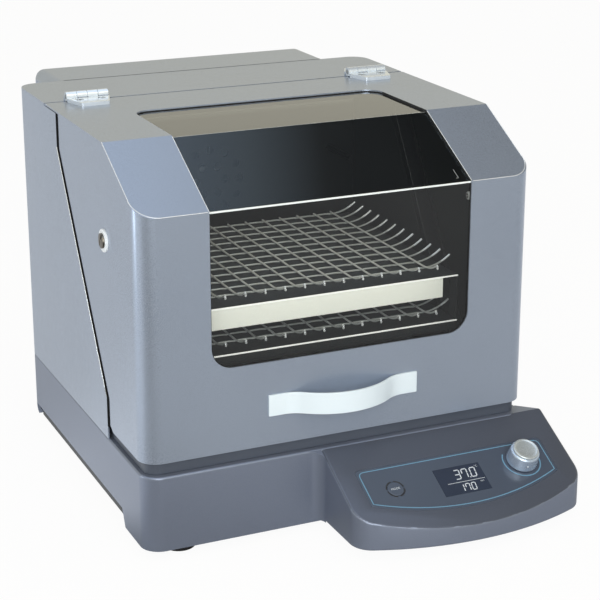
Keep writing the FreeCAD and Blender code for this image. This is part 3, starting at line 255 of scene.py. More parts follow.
paintLook = {"dark": tone(143, 152, 167), "light": tone(176, 187, 204), "metal": 0.55, "rough": 0.28,
             "coat": 0.08, "flake": 0.5, "flakeScale": 2600.0, "drift": 0.25, "driftScale": 5.0,
             "peel": 0.05, "peelScale": 700.0}
baseLook = {"dark": tone(112, 120, 137), "light": tone(140, 148, 166), "metal": 0.5, "rough": 0.36,
            "coat": 0.08, "flake": 0.55, "flakeScale": 2300.0, "drift": 0.25, "driftScale": 6.0,
            "peel": 0.07, "peelScale": 900.0}
knobLook = {"dark": tone(168, 184, 204), "light": tone(204, 217, 234), "metal": 0.6, "rough": 0.26,
            "coat": 0.2, "flake": 0.4, "flakeScale": 3000.0, "drift": 0.1, "driftScale": 30.0, "peel": 0.03,
            "peelScale": 1200.0}
capLook = {**knobLook, "dark": tone(178, 186, 189), "light": tone(212, 219, 222), "metal": 0.5, "coat": 0.4,
           "flake": 0.3, "drift": 0.2, "driftScale": 60.0, "peel": 0.02}
fasciaLook = {"dark": tone(68, 77, 93), "light": tone(86, 96, 113), "metal": 0.0, "rough": 0.2, "coat": 0.5,
              "flake": 0.2, "flakeScale": 2000.0, "drift": 0.2, "driftScale": 12.0, "peel": 0.02,
              "peelScale": 500.0}
wireLook = {"dark": tone(160, 163, 160), "light": tone(210, 213, 210), "metal": 0.3, "rough": 0.36,
            "coat": 0.2, "flake": 0.5, "flakeScale": 900.0, "drift": 0.4, "driftScale": 40.0, "peel": 0.04,
            "peelScale": 800.0}
# Near-white with little metal: a painted sheen for the strap's bright reflection
handleSheenLook = {"dark": tone(224, 238, 247), "light": tone(238, 248, 253), "metal": 0.12, "rough": 0.35,
              "coat": 0.1, "flake": 0.4, "flakeScale": 1800.0, "drift": 0.3, "driftScale": 20.0,
              "peel": 0.03, "peelScale": 800.0}
# Near-white satin for the painted glints on edges, ends and nuts; the plated finish takes its other values
brightLook = {"dark": tone(232, 236, 238), "light": tone(252, 253, 253), "metal": 0.3, "rough": 0.25,
              "coat": 0.3, "flake": 0.4, "flakeScale": 2000.0, "drift": 0.3, "driftScale": 60.0,
              "peel": 0.02, "peelScale": 900.0}
platedLook = {**brightLook, "dark": tone(216, 229, 243), "light": tone(247, 252, 255), "metal": 0.45,
              "rough": 0.15}
lcdLook = {**fasciaLook, "dark": tone(44, 52, 69), "light": tone(56, 65, 84), "rough": 0.16, "coat": 0.6,
           "flake": 0.1, "drift": 0.4, "driftScale": 30.0, "peel": 0.0}


def plastic(dark, light, rough, grain=0.25, grainScale=1400.0, metal=0.0, mirror=0.5):
    return {"dark": tone(*dark), "light": tone(*light), "rough": rough, "cloud": 0.4, "cloudScale": 14.0,
            "grain": grain, "grainScale": grainScale, "grainTone": 0.35, "metal": metal, "mirror": mirror}


def metal(dark, light, rough, stretch=(1.0, 1.0, 1.0), lineScale=300.0):
    return {"dark": tone(*dark), "light": tone(*light), "rough": rough, "stretch": stretch,
            "lineScale": lineScale, "lines": 0.5, "depth": 0.08}


paneLook = {"plain": 0.07, "edge": 1.06, "dust": 0.006, "tint": (0.985, 0.99, 0.985, 1.0),
            "gloss": plainWhite, "rough": 0.012}
# The slope pane's gloss is bluer and stronger than the other panes': painted reflection
slopePaneLook = {**paneLook, "plain": 0.1, "gloss": (0.84, 0.93, 1.0, 1.0)}
mitreLook = {"plain": 0.0, "edge": 0.0, "dust": 0.004, "tint": (0.95, 0.96, 0.95, 1.0), "gloss": plainWhite,
             "rough": 0.2}
# The pale tone above 0.348 m is painted light on the chamber sheet
baffleLook = {"dark": tone(15, 16, 17), "light": tone(23, 25, 26), "pale": tone(176, 176, 164), "from": 0.348,
              "to": 0.36, "grainScale": 900.0, "grain": 0.15, "grainGloss": 0.1, "rough": 0.45, "mirror": 0.2}
# A darker copy of the base paint for the pod's upper faces: painted shade
podShadeLook = {**baseLook, "dark": tone(82, 87, 98), "light": tone(104, 109, 122)}
# A lighter copy of the wire paint for the long wires on top: painted light
paintedLightWireLook = {**wireLook, "dark": tone(214, 217, 215), "light": tone(244, 246, 244), "metal": 0.1}
finishes = {
    "silver_paint": satinPaint("silverPaint", paintLook),
    "base_grey": satinPaint("baseGrey", baseLook),
    "plinth_grey": mouldedPlastic("plinthGrey", plastic((64, 70, 81), (84, 91, 104), 0.42)),
    "black_rubber": mouldedPlastic("blackRubber", plastic((16, 16, 17), (30, 30, 32), 0.75, 0.4)),
    "clear_glass": clearSheet("clearPane", paneLook),
    "bright_steel": satinPaint("brightSteel", platedLook),
    "plain_steel": workedMetal("plainSteel", metal((140, 144, 148), (190, 194, 198), 0.32, (8.0, 8.0, 1.0))),
    "white_nylon": mouldedPlastic("whiteNylon", plastic((232, 238, 243), (246, 250, 253), 0.4, 0.15)),
    "dark_sheet": mouldedPlastic("darkSheet", plastic((34, 36, 38), (48, 51, 53), 0.45, 0.2, 900.0, 0.2)),
    "dark_lining": mouldedPlastic("darkLining", plastic((20, 22, 23), (31, 34, 35), 0.5, 0.25, 700.0)),
    "tray_wire": satinPaint("trayWire", wireLook),
    # The rail's ivory glows a little: painted light
    "ivory_plastic": printedInk("ivoryPlastic", tone(249, 250, 241), 0.1),
    "fascia_blue": satinPaint("fasciaFilm", fasciaLook),
    "lcd_navy": satinPaint("lcdGlass", lcdLook),
    "knob_silver": satinPaint("knobSilver", capLook),
    "knob_grey": satinPaint("knobGrey", knobLook),
    "cast_aluminium": workedMetal("castAluminium", metal((132, 135, 138), (176, 179, 182), 0.42,
                                                         lineScale=250.0)),
    "motor_black": mouldedPlastic("motorBlack", plastic((24, 25, 27), (38, 39, 41), 0.4)),
    "insulation": fibreMat("mineralWool"),
    "board_green": mouldedPlastic("boardGreen", plastic((14, 60, 34), (22, 84, 46), 0.4, 0.3, 500.0)),
    "black_plastic": mouldedPlastic("blackPlastic", plastic((18, 19, 21), (34, 35, 38), 0.38)),
}
# The border ink and the pale ink glow faintly: painted light
borderInk = printedInk("borderInk", tone(108, 154, 184), 0.04)
paleInk = printedInk("paleInk", tone(214, 222, 230), 0.05)
litSegment = printedInk("litSegment", tone(205, 212, 222), 0.16)
paneEdge = mouldedPlastic("paneEdge", plastic((226, 236, 238), (248, 252, 252), 0.2, 0.1))
# Painted glint: a bright white for lit edges, wire ends and nuts
cutSteel = satinPaint("cutSteel", brightLook)
handleSatin = satinPaint("handleSatin", handleSheenLook)
darkBolt = workedMetal("darkBolt", metal((84, 80, 74), (134, 128, 118), 0.3))
chamberBlack = chamberSheet("chamberBlack", baffleLook)
# Near-black for the strip over the hood's gap: painted shade
gapBlack = mouldedPlastic("gapBlack", plastic((4, 4, 5), (9, 9, 10), 0.85, 0.3, mirror=0.05))
podPaint = satinPaint("podPaint", podShadeLook)
longWire = satinPaint("longWire", paintedLightWireLook)
clearMitre = clearSheet("clearMitre", mitreLook)
slopePane = clearSheet("slopePane", slopePaneLook)
# Painted highlight: a glowing white for the platforms' front edges
edgeGlint = printedInk("edgeGlint", tone(250, 250, 247), 0.4)
# Near-black for the dark joint behind the cabinet's top and the painted shade round the button
recessShade = mouldedPlastic("recessShade", plastic((26, 26, 27), (40, 40, 42), 0.6))
for name, node in cadNodes.items():
    node.data.materials.clear()
    node.data.materials.append(finishes[slotOf[name]])
print("finishes made: %d" % len(bpy.data.materials))


# Mesh helpers; the splits are the angles, in degrees, past which an edge stays sharp
wireSides = 8
roundSplit, plainSplit, screwSplit, sheetSplit = 50.0, 35.0, 30.0, 22.0
meshing = {"weld": 1e-6, "sliver": 1e-7, "cadWeld": 2e-6, "flat": 0.6, "bevelFrom": 40.0, "bevelSteps": 2,
           "easeSteps": 5, "barSteps": 24}


def stitched(rows, closedAlong=False, capped=False):
    # Rings of points (along, across, 3) joined to their neighbours by quads; caps close an open tube's two ends
    index = np.arange(rows.shape[0] * rows.shape[1]).reshape(rows.shape[:2])
    first, last = index[0].tolist(), index[-1].tolist()
    if closedAlong:
        index = np.vstack([index, index[:1]])
    index = np.hstack([index, index[:, :1]])
    around = [index[:-1, :-1], index[1:, :-1], index[1:, 1:], index[:-1, 1:]]
    quads = np.stack(around, -1).reshape(-1, 4).tolist()
    if capped:
        quads += [first, last[::-1]]
    return rows.reshape(-1, 3), quads


def makePiece(name, parts, material, body, stands=(), split=plainSplit, slotName=None):
    # Several stitched parts become one mesh, its doubles merged and its faces turned outwards
    points, faces, offset = [], [], 0
    for partPoints, partFaces in parts:
        points.append(partPoints)
        faces += [[corner + offset for corner in face] for face in partFaces]
        offset += len(partPoints)
    mesh = bpy.data.meshes.new(name)
    mesh.from_pydata((np.vstack(points) + middle * mm).tolist(), [], faces)
    shell = bmesh.new()
    shell.from_mesh(mesh)
    bmesh.ops.remove_doubles(shell, verts=shell.verts, dist=meshing["weld"])
    bmesh.ops.dissolve_degenerate(shell, edges=shell.edges, dist=meshing["sliver"])
    bmesh.ops.recalc_face_normals(shell, faces=shell.faces)
    shell.to_mesh(mesh)
    shell.free()
    placePiece(name, mesh, material, body, stands, split, slotName)


def placePiece(name, mesh, material, body, stands, split, slotName):
    mesh.materials.clear()
    mesh.materials.append(material)
    mesh.polygons.foreach_set("use_smooth", np.ones(len(mesh.polygons), bool))
    mesh.set_sharp_from_angle(angle=math.radians(split))
    piece = bpy.data.objects.new(name, mesh)
    link(piece)
    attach(piece, body)
    if stands:
        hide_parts(*stands)
    return piece


def dressed(node, name, bevel=0.0, material=None):
    # A merged copy of a CAD node, smooth where it curves, its sharp edges eased
    source = cadNodes[node]
    mesh = source.data.copy()
    mesh.name = name
    if "custom_normal" in mesh.attributes:
        mesh.attributes.remove(mesh.attributes["custom_normal"])
    shell = bmesh.new()
    shell.from_mesh(mesh)
    bmesh.ops.remove_doubles(shell, verts=shell.verts, dist=meshing["cadWeld"])
    flat = math.radians(meshing["flat"])
    bmesh.ops.dissolve_limit(shell, angle_limit=flat, verts=shell.verts, edges=shell.edges)
    shell.to_mesh(mesh)
    shell.free()
    material = material or finishes[slotOf[node]]
    piece = placePiece(name, mesh, material, source["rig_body"], (node,), sheetSplit, slotOf[node])
    if bevel:
        ease = piece.modifiers.new("easedEdges", "BEVEL")
        ease.width = bevel * mm
        ease.segments = meshing["bevelSteps"]
        ease.limit_method = "ANGLE"
        ease.angle_limit = math.radians(meshing["bevelFrom"])
        ease.harden_normals = True
    return piece


def tube(path, radius):
    # A circle carried along a path: centre + radius * (cosine * side + sine * lift), the side level
    along = np.gradient(path, axis=0)
    along /= np.linalg.norm(along, axis=1, keepdims=True)
    side = np.cross(along, [0.0, 0.0, 1.0])
    side /= np.linalg.norm(side, axis=1, keepdims=True)
    lift = np.cross(side, along)
    turn = np.linspace(0, 2 * np.pi, wireSides, endpoint=False)[None, :, None]
    ring = np.cos(turn) * side[:, None] + np.sin(turn) * lift[:, None]
    return stitched(path[:, None] + radius * ring, capped=True)


def turned(profile, centre, axes, count=48):
    # A turned (radius, height) profile: centre + radius * (cosine * side + sine * up) + height * out
    side, up, out = (np.array(axis) for axis in axes)
    turn = np.linspace(0, 2 * np.pi, count, endpoint=False)[None, :, None]
    profile = np.array(profile)[:, None, :]
    spokes = np.cos(turn) * side + np.sin(turn) * up
    return (np.array(centre) + profile[..., :1] * spokes + profile[..., 1:] * out) * mm


def eased(corners):
    # A polyline of (a, b, radius) corners, each swept by a quadratic curve that starts and ends a radius away
    t = np.linspace(0, 1, meshing["easeSteps"])[:, None]
    points = []
    for at, (a, b, radius) in enumerate(corners):
        corner = np.array([a, b])
        if radius == 0 or at in (0, len(corners) - 1):
            points.append(corner[None])
            continue
        before = np.array(corners[at - 1][:2]) - corner
        after = np.array(corners[at + 1][:2]) - corner
        start = corner + before / np.linalg.norm(before) * radius
        end = corner + after / np.linalg.norm(after) * radius
        points.append((1 - t) ** 2 * start + 2 * t * (1 - t) * corner + t ** 2 * end)
    return np.vstack(points)


# Camera, fitted to the photograph's straight edges
cameraFit = {"place": (-0.69087, -1.61568, 0.77803), "yaw": 24.21, "pitch": -17.70, "lens": 103.30,
             "sensor": 36.0, "shift": -0.05}
cameraData = bpy.data.cameras.new("photoCamera")
cameraData.lens = cameraFit["lens"]
cameraData.sensor_width = cameraFit["sensor"]
cameraData.shift_y = cameraFit["shift"]
camera = bpy.data.objects.new("photoCamera", cameraData)
camera.location = np.array(cameraFit["place"]) + middle * mm
camera.rotation_euler = (math.radians(90 + cameraFit["pitch"]), 0.0, math.radians(-cameraFit["yaw"]))
link(camera)
scene.camera = camera
scene.view_settings.view_transform = "Standard"


# Studio: soft boxes, a white floor that keeps a faint shadow, and a pale surround
softBoxes = {
    "topBox": {"place": (-0.4, -1.4, 1.8), "aim": (0.0, 0.0, 0.2), "size": (2.0, 1.6), "power": 12.0,
               "colour": (1.0, 0.92, 0.76)},
    "leftBox": {"place": (-1.3, 0.35, 0.2), "aim": (0.0, 0.0, 0.2), "size": (0.15, 0.36), "power": 2.6,
                "colour": (0.82, 0.92, 1.0)},
    "frontBox": {"place": (-0.7, -2.2, 0.9), "aim": (0.0, 0.0, 0.25), "size": (1.6, 1.2), "power": 25.0,
                 "colour": (0.93, 0.97, 1.0)},
}
for name, box in softBoxes.items():
    lamp = bpy.data.lights.new(name, "AREA")
    lamp.shape = "RECTANGLE"
    lamp.size, lamp.size_y = box["size"]
    lamp.energy = box["power"]
    lamp.color = box["colour"]
    holder = bpy.data.objects.new(name, lamp)
    holder.location = box["place"]
    sight = Vector(box["aim"]) - Vector(box["place"])
    holder.rotation_euler = sight.to_track_quat("-Z", "Y").to_euler()
    link(holder)

# How bright the floor is as seen in gloss, by bearing: 0 left, 0.25 front, 0.5 right, 0.75 back
floorLevels = [(0.0, 1.0), (0.035, 1.0), (0.08, 0.3), (0.13, 0.08), (0.18, 0.15), (0.24, 0.36), (0.35, 0.4),
               (0.43, 0.5), (0.52, 0.85), (0.75, 0.74), (0.86, 0.68), (0.94, 1.0)]
floor = {"half": 12.0, "shadow": 0.05, "tint": (0.97, 1.0, 1.03), "paperScale": 3.0,
         "dark": (0.90, 0.90, 0.90, 1.0), "light": (0.94, 0.94, 0.94, 1.0)}
floorStops = [(at, tuple(level * part for part in floor["tint"]) + (1.0,)) for at, level in floorLevels]


def whiteFloor(start):
    # White to the camera, by bearing in gloss, with a share of lit paper for the shadow; paper to other rays
    rays = ("Is Camera Ray", "Is Glossy Ray", "Is Transmission Ray")
    direct, mirrored, through = (start.node("LightPath", out=ray) for ray in rays)
    spot = start.node("TexCoord", out="Object")
    spotX, spotY = (start.node("SeparateXYZ", {}, {"Vector": spot}, axis) for axis in "XY")
    bearing = start.maths("ARCTAN2", spotY, spotX) * (0.5 / math.pi) + 0.5
    flagged = start.node("ValToRGB", {"stops": floorStops}, {"Fac": bearing})
    paper = speckle(start, floor["paperScale"]).between(floor["dark"], floor["light"])
    lit = start.node("BsdfDiffuse", {}, {"Color": paper})
    white = start.node("Emission", {}, {"Color": direct.between(flagged, plainWhite), "Strength": 1.0})
    share = (direct + mirrored + through) * (1.0 - floor["shadow"])
    return start.node("MixShader", {}, {0: share, 1: lit, 2: white})


floorMesh = bpy.data.meshes.new("studioFloor")
floorCorners = [(x * floor["half"], y * floor["half"], 0) for x, y in ((-1, -1), (1, -1), (1, 1), (-1, 1))]
floorMesh.from_pydata(floorCorners, [], [(0, 1, 2, 3)])
floorMesh.materials.append(finish("studioPaper", whiteFloor))
studioFloor = bpy.data.objects.new("studioFloor", floorMesh)
link(studioFloor)

# Surround: white to the camera; in gloss a wall under a ceiling that is bright on the left; else even light
surround = {"level": 0.5, "cool": (0.98, 1.0, 1.06), "warm": (1.02, 0.94, 0.78),
            "warmFrom": 0.2, "warmTo": 0.9,
            "wall": [(0.0, (0.76, 0.73, 0.6, 1)), (0.45, (0.7, 0.68, 0.58, 1))],
            "ceiling": [(0.26, (1.0, 1.18, 1.45, 1)), (0.37, (0.5, 0.56, 0.62, 1)),
                        (0.41, (0.14, 0.14, 0.14, 1)), (0.5, (0.03, 0.03, 0.03, 1))],
            "ceilingFrom": 0.55, "ceilingTo": 0.8}
world = bpy.data.worlds.new("studioSurround")
world.use_nodes = True
world.node_tree.nodes.clear()
sky = Shade(world.node_tree)
seenRays = sky.node("LightPath", out="Is Camera Ray") + sky.node("LightPath", out="Is Transmission Ray")
heading = sky.node("TexCoord", out="Generated")
height = sky.node("SeparateXYZ", {}, {"Vector": heading}, "Z")
across = sky.node("SeparateXYZ", {}, {"Vector": heading}, "X")
wall = sky.node("ValToRGB", {"stops": surround["wall"]}, {"Fac": height})
ceiling = sky.node("ValToRGB", {"stops": surround["ceiling"]}, {"Fac": across})
ceilingEnds = {0: height, 1: surround["ceilingFrom"], 2: surround["ceilingTo"]}
upward = sky.node("MapRange", {"interpolation_type": "SMOOTHSTEP"}, ceilingEnds)
glossy = sky.node("LightPath", out="Is Glossy Ray")
coolLight, warmLight = (tuple(surround["level"] * part for part in surround[key]) + (1.0,)
                        for key in ("cool", "warm"))
overhead = sky.node("MapRange", {}, {0: height, 1: surround["warmFrom"], 2: surround["warmTo"]})
even = overhead.between(coolLight, warmLight)
shown = seenRays.between(glossy.between(even, upward.between(wall, ceiling)), plainWhite)
sky.node("OutputWorld", {}, {"Surface": sky.node("Background", {}, {"Color": shown, "Strength": 1.0})})
scene.world = world
print("camera and studio set")


# Painted shells and plain hardware, their sheet edges eased
shells = {"hood_wrap": 0.6, "hood_top": 0.6, "cabinet_wrap": 0.6, "cabinet_top": 0.5, "rear_box": 0.5,
          "base_housing": 0.35, "plinth_frame": 0.8, "hinge_hood_leaves": 0.7,
          "hinge_rear_leaves": 0.7, "bottom_pan": 0.4, "tray_front_rail": 0.4, "upper_platform": 0.3,
          "lower_platform": 0.3, "panel_fascia": 0.15, "mode_button": 0.5, "power_inlet": 0.4,
          "power_rocker": 0.5, "hood_inner_sides": 0.8, "opening_frame": 0.8, "window_gasket": 0.2,
          "hinge_pins": 0.3, "fan_wheel": 0.3, "heater_ring": 0.0, "floor_pan": 0.5}


def camel(node):
    first, *rest = node.split("_")
    return first + "".join(word.capitalize() for word in rest)


def faceValues(mesh, key, width=3):
    # One row for each face: its centre, its normal or its area
    values = np.zeros(len(mesh.polygons) * width)
    mesh.polygons.foreach_get(key, values)
    return values.reshape(-1, width)


def secondFinish(mesh, material, chosen):
    # The chosen faces take another material
    mesh.materials.append(material)
    mesh.polygons.foreach_set("material_index", chosen.astype(np.int32))


for node, bevel in shells.items():
    dressed(node, camel(node), bevel)
# The strap takes the near-white painted sheen
dressed("handle_strap", "handleStrap", 0.5, handleSatin)
# The baffle and the probe take the chamber sheet, which has painted light near the ceiling
for node in ("air_baffle", "temperature_probe"):
    dressed(node, camel(node), 0.0, chamberBlack)

# Inner faces of the sheet walls take the dark lining as painted shade; the outer skin lies within 1.1 mm of the
# outer planes and corners
skin = {"x": 208.9, "front": -182.9, "rear": 210.4, "top": 395.9, "slope": (-0.4706, 0.8824),
        "slopeAt": 389.9, "radius": 22.9, "corner": (186.0, -160.0, 187.5)}
for name in ("hoodWrap", "hoodTop", "cabinetWrap"):
    mesh = bpy.data.objects[name].data
    x, y, z = (faceValues(mesh, "center") / mm - middle).T
    cornerX, frontY, backY = skin["corner"]
    nearY = np.where(y < 0, np.minimum(y - frontY, 0), np.maximum(y - backY, 0))
    outer = np.hypot(np.maximum(np.abs(x) - cornerX, 0), nearY) > skin["radius"]
    outer |= (np.abs(x) > skin["x"]) | (y < skin["front"]) | (y > skin["rear"]) | (z > skin["top"])
    outer |= skin["slope"][0] * y + skin["slope"][1] * z > skin["slopeAt"]
    # Painted shade on the inner faces
    secondFinish(mesh, finishes["dark_lining"], ~outer)

# The pod's upper faces lie before the hood and look up; they take a darker copy of the base paint, painted
# shade
podTop = {"before": -0.19, "upward": 0.6}
housing = bpy.data.objects["baseHousing"].data
beforeHood = faceValues(housing, "center")[:, 1] < podTop["before"]
secondFinish(housing, podPaint, beforeHood & (faceValues(housing, "normal")[:, 2] > podTop["upward"]))

# A pane's large outward face carries its gloss; its inner face and its mitred edges are clear
paneFace = {"outward": (0.0, -1.0, 1.0), "facing": 0.5, "share": 0.3}
for node in ("window_top_pane", "window_slope_pane", "window_front_pane"):
    sheet = dressed(node, camel(node), 0.0, slopePane if node == "window_slope_pane" else None).data
    areas = faceValues(sheet, "area", 1)[:, 0]
    outward = faceValues(sheet, "normal") @ paneFace["outward"] > paneFace["facing"]
    secondFinish(sheet, clearMitre, ~(outward & (areas > paneFace["share"] * areas.max())))
print("shells dressed: %d" % len(shells))


# Wire trays: straight long wires over crimped cross wires; the sides and the front ends curl up
trayWire = {"radius": 1.05, "pitchX": 21.3, "sideCount": 6, "pitchY": 20.6, "crossCount": 12,
            "firstY": -108.0, "sideRun": 31.0, "sideRise": 11.0, "tailRun": 30.0, "tailRise": 9.0,
            "step": 1.9, "gap": 0.2, "crimp": 0.5, "dip": 3.2, "bright": 6, "tip": 1.04,
            "hook": [(0.0, 0.6, 0.0), (0.0, -0.9, -0.8), (0.0, -1.1, -2.2), (0.0, -0.7, -3.6)],
            "plates": {"upper_tray": 233.0, "lower_tray": 184.0}}


def curledLine(lowEnd, highEnd, run, rise, farRun, farCurls):
    # Distances along the wire and the height its ends gain: radius - root(radius squared - distance squared)
    count = int((highEnd - lowEnd + run + farRun) / trayWire["step"])
    s = np.linspace(lowEnd - run, highEnd + farRun, count)
    past = np.maximum(lowEnd - s, 0.0) + farCurls * np.maximum(s - highEnd, 0.0)
    radius = (run * run + rise * rise) / (2 * rise)
    return s, radius - np.sqrt(radius * radius - past * past)


def wireTray(node, plate):
    look = trayWire
    low = plate + look["gap"] + look["radius"]
    high = low + look["gap"] + 2 * look["radius"]
    xEnd = look["sideCount"] * look["pitchX"]
    ys = look["firstY"] + look["pitchY"] * np.arange(look["crossCount"])
    xs = look["pitchX"] * np.arange(-look["sideCount"], look["sideCount"] + 1)
    wires, longWires, tips = [], [], []
    tipRadius = look["radius"] * look["tip"] * mm
    s, lift = curledLine(-xEnd, xEnd, look["sideRun"], look["sideRise"], look["sideRun"], True)
    # The cross wire dips under each long wire: 1 - exponential of -(distance / dip) squared
    near = np.abs((s / look["pitchX"] + 0.5) % 1.0 - 0.5) * look["pitchX"]
    crimp = look["crimp"] * (1.0 - np.exp(-(near / look["dip"]) ** 2)) * (np.abs(s) < xEnd)
    for y in ys:
        path = np.stack([s, np.full_like(s, y), low + lift + crimp], 1) * mm
        wires.append(tube(path, look["radius"] * mm))
        # White tubes over each cross wire's ends: painted glints
        tips += [tube(end, tipRadius) for end in (path[:look["bright"]], path[-look["bright"]:])]
    s, lift = curledLine(ys[0], ys[-1], look["tailRun"], look["tailRise"], look["radius"], False)
    for x in xs:
        path = np.stack([np.full_like(s, x), s, high + lift], 1) * mm
        longWires.append(tube(path, look["radius"] * mm))
        # A small white hook at each long wire's front end: painted glint
        tips.append(tube(path[0] + np.array(look["hook"]) * mm, tipRadius))
    makePiece(camel(node) + "Wires", wires, finishes["tray_wire"], "table", (node,), roundSplit, "tray_wire")
    # The long wires take the lighter copy of the wire paint: painted light
    makePiece(camel(node) + "LongWires", longWires, longWire, "table", (), roundSplit, "tray_wire")
    makePiece(camel(node) + "CutEnds", tips, cutSteel, "table")


for node, plate in trayWire["plates"].items():
    wireTray(node, plate)
print("trays woven")


# Glowing white lines on the front edges of the two platforms, and of the posts between them: painted highlight
platformEdge = {"half": 152.0, "y": -138.6, "zs": (232.3, 183.4), "radius": 0.9, "postRadius": 0.4,
                "post": [(0.0, 184.5), (-0.05, 208.0), (0.0, 231.5)]}


def levelBar(start, end, radius):
    # A straight bar between two points, as a circle carried along a short line
    return tube(np.linspace(start, end, meshing["barSteps"]) * mm, radius * mm)


edgeEnds = (-platformEdge["half"], platformEdge["half"])
edgeBars = [levelBar(*[(x, platformEdge["y"], z) for x in edgeEnds], platformEdge["radius"])
            for z in platformEdge["zs"]]
for x in edgeEnds:
    # A post bows by a hair, because a tube needs a path that is not quite upright
    postLine = np.array([(x, platformEdge["y"] + bow, z) for bow, z in platformEdge["post"]])
    edgeBars.append(tube(postLine * mm, platformEdge["postRadius"] * mm))
makePiece("platformEdges", edgeBars, edgeGlint, "table", (), roundSplit)


# A black strip on the hood's rear edge, over the gap and onto the side: painted shade for the gap's shadow
gapShade = {"path": [(62.0, 395.0), (62.0, 358.9), (-78.0, 133.9), (-78.0, 102.0)], "onto": 5.0, "past": 2.7,
            "face": 210.0, "proud": 0.25, "sunk": 1.4, "steps": 30}


def gapShadeStrip(side):
    # A flat strip along the edge line (y, z), widened forwards and back, and lifted a little from the side
    line = np.array(gapShade["path"])
    steps = np.linspace(0, 1, gapShade["steps"])[:, None]
    path = np.vstack([a + (b - a) * steps for a, b in zip(line[:-1], line[1:])])
    rear, front = path + [gapShade["past"], 0.0], path - [gapShade["onto"], 0.0]
    low = np.full((len(path), 1), gapShade["face"] - gapShade["sunk"])
    high = np.full((len(path), 1), gapShade["face"] + gapShade["proud"])
    corners = ((low, rear), (high, rear), (high, front), (low, front))
    rows = np.stack([np.hstack(corner) for corner in corners], 1)
    return stitched(rows * [side * mm, mm, mm], capped=True)


makePiece("hoodEdgeTrim", [gapShadeStrip(-1), gapShadeStrip(1)], gapBlack, "lid")

# A bright white line on the cabinet's side edge, behind the black strip: painted highlight
cabinetGlint = {"x": 209.8, "behind": 3.5, "radius": 0.9}
gapLine = np.array([(cabinetGlint["x"], y + cabinetGlint["behind"], z) for y, z in gapShade["path"]])
gapPath = np.vstack([np.linspace(a, b, gapShade["steps"], endpoint=False)
                     for a, b in zip(gapLine[1:-1], gapLine[2:])])
cabinetBeads = [tube(gapPath * [side * mm, mm, mm], cabinetGlint["radius"] * mm) for side in (-1, 1)]
makePiece("cabinetBeads", cabinetBeads, cutSteel, "base", (), roundSplit)


# White and grey lines where the panes meet: the panes' cut edges, with a painted highlight of the bends
paneSeam = {"half": 139.0, "steps": 40, "front": (-181.7, 343.6, 1.0), "top": (-85.9, 394.7, 0.16)}


def seamStrip(name, y, z, radius, material):
    x = np.linspace(-paneSeam["half"], paneSeam["half"], paneSeam["steps"])
    path = np.stack([x, np.full_like(x, y), np.full_like(x, z)], 1) * mm
    makePiece(name, [tube(path, radius * mm)], material, "lid", (), roundSplit)


seamStrip("frontPaneEdge", *paneSeam["front"], paneEdge)
seamStrip("topPaneEdge", *paneSeam["top"], finishes["tray_wire"])


# A fine bright white line round the slope's outline and down the window's cut edges: painted highlight
slopeGlint = {"radius": 0.34, "half": 209.75, "corner": (186.0, -160.0, 24.0), "window": 140.5,
        "bend": (-86.5, 397.0), "foot": (-184.0, 345.0), "cut": 139.1, "cutTop": (-88.0, 396.3),
        "cutFoot": (-183.5, 345.4), "edgeSteps": 20, "turnSteps": 24, "foldSteps": 12, "least": 0.01}


def slopeGlintLine(side):
    # Down the slope's side edge, round the corner as an arc in plan, then along the fold to the window
    cornerX, cornerY, radius = slopeGlint["corner"]
    (bendY, bendZ), (footY, footZ) = slopeGlint["bend"], slopeGlint["foot"]
    turn = np.linspace(0, np.pi / 2, slopeGlint["turnSteps"])
    fold = np.linspace(cornerX, slopeGlint["window"], slopeGlint["foldSteps"])[1:]
    edge = np.linspace(bendY, cornerY, slopeGlint["edgeSteps"])
    xs = np.concatenate([np.full_like(edge, slopeGlint["half"]), cornerX + radius * np.cos(turn), fold])
    ys = np.concatenate([edge, cornerY - radius * np.sin(turn), np.full_like(fold, footY)])
    steep = (bendZ - footZ) / (bendY - footY)
    zs = footZ + (ys - footY) * steep
    keep = np.concatenate([[True], np.hypot(np.diff(xs), np.diff(ys)) > slopeGlint["least"]])
    return tube(np.stack([side * xs, ys, zs], 1)[keep] * mm, slopeGlint["radius"] * mm)


cutEdgeGlints = [levelBar((x, *slopeGlint["cutTop"]), (x, *slopeGlint["cutFoot"]), slopeGlint["radius"])
            for x in (-slopeGlint["cut"], slopeGlint["cut"])]
makePiece("slopeBeads", [slopeGlintLine(-1), slopeGlintLine(1)] + cutEdgeGlints, cutSteel, "lid", (), roundSplit)

# The dark joint behind the cabinet's top
boxJoint = {"ends": [(-157.0, 211.8, 396.6), (157.0, 211.8, 396.6)], "radius": 0.65}
makePiece("boxJoint", [levelBar(*boxJoint["ends"], boxJoint["radius"])], recessShade, "base", (), roundSplit)

# A clip at the right lower corner of the slope pane
paneClip = {"path": [(131.0, -160.0, 351.8), (131.0, -171.0, 345.9), (128.5, -171.0, 345.9)], "radius": 0.3}
clips = [levelBar(a, b, paneClip["radius"]) for a, b in zip(paneClip["path"][:-1], paneClip["path"][1:])]
makePiece("paneClips", clips, finishes["tray_wire"], "lid", (), roundSplit)


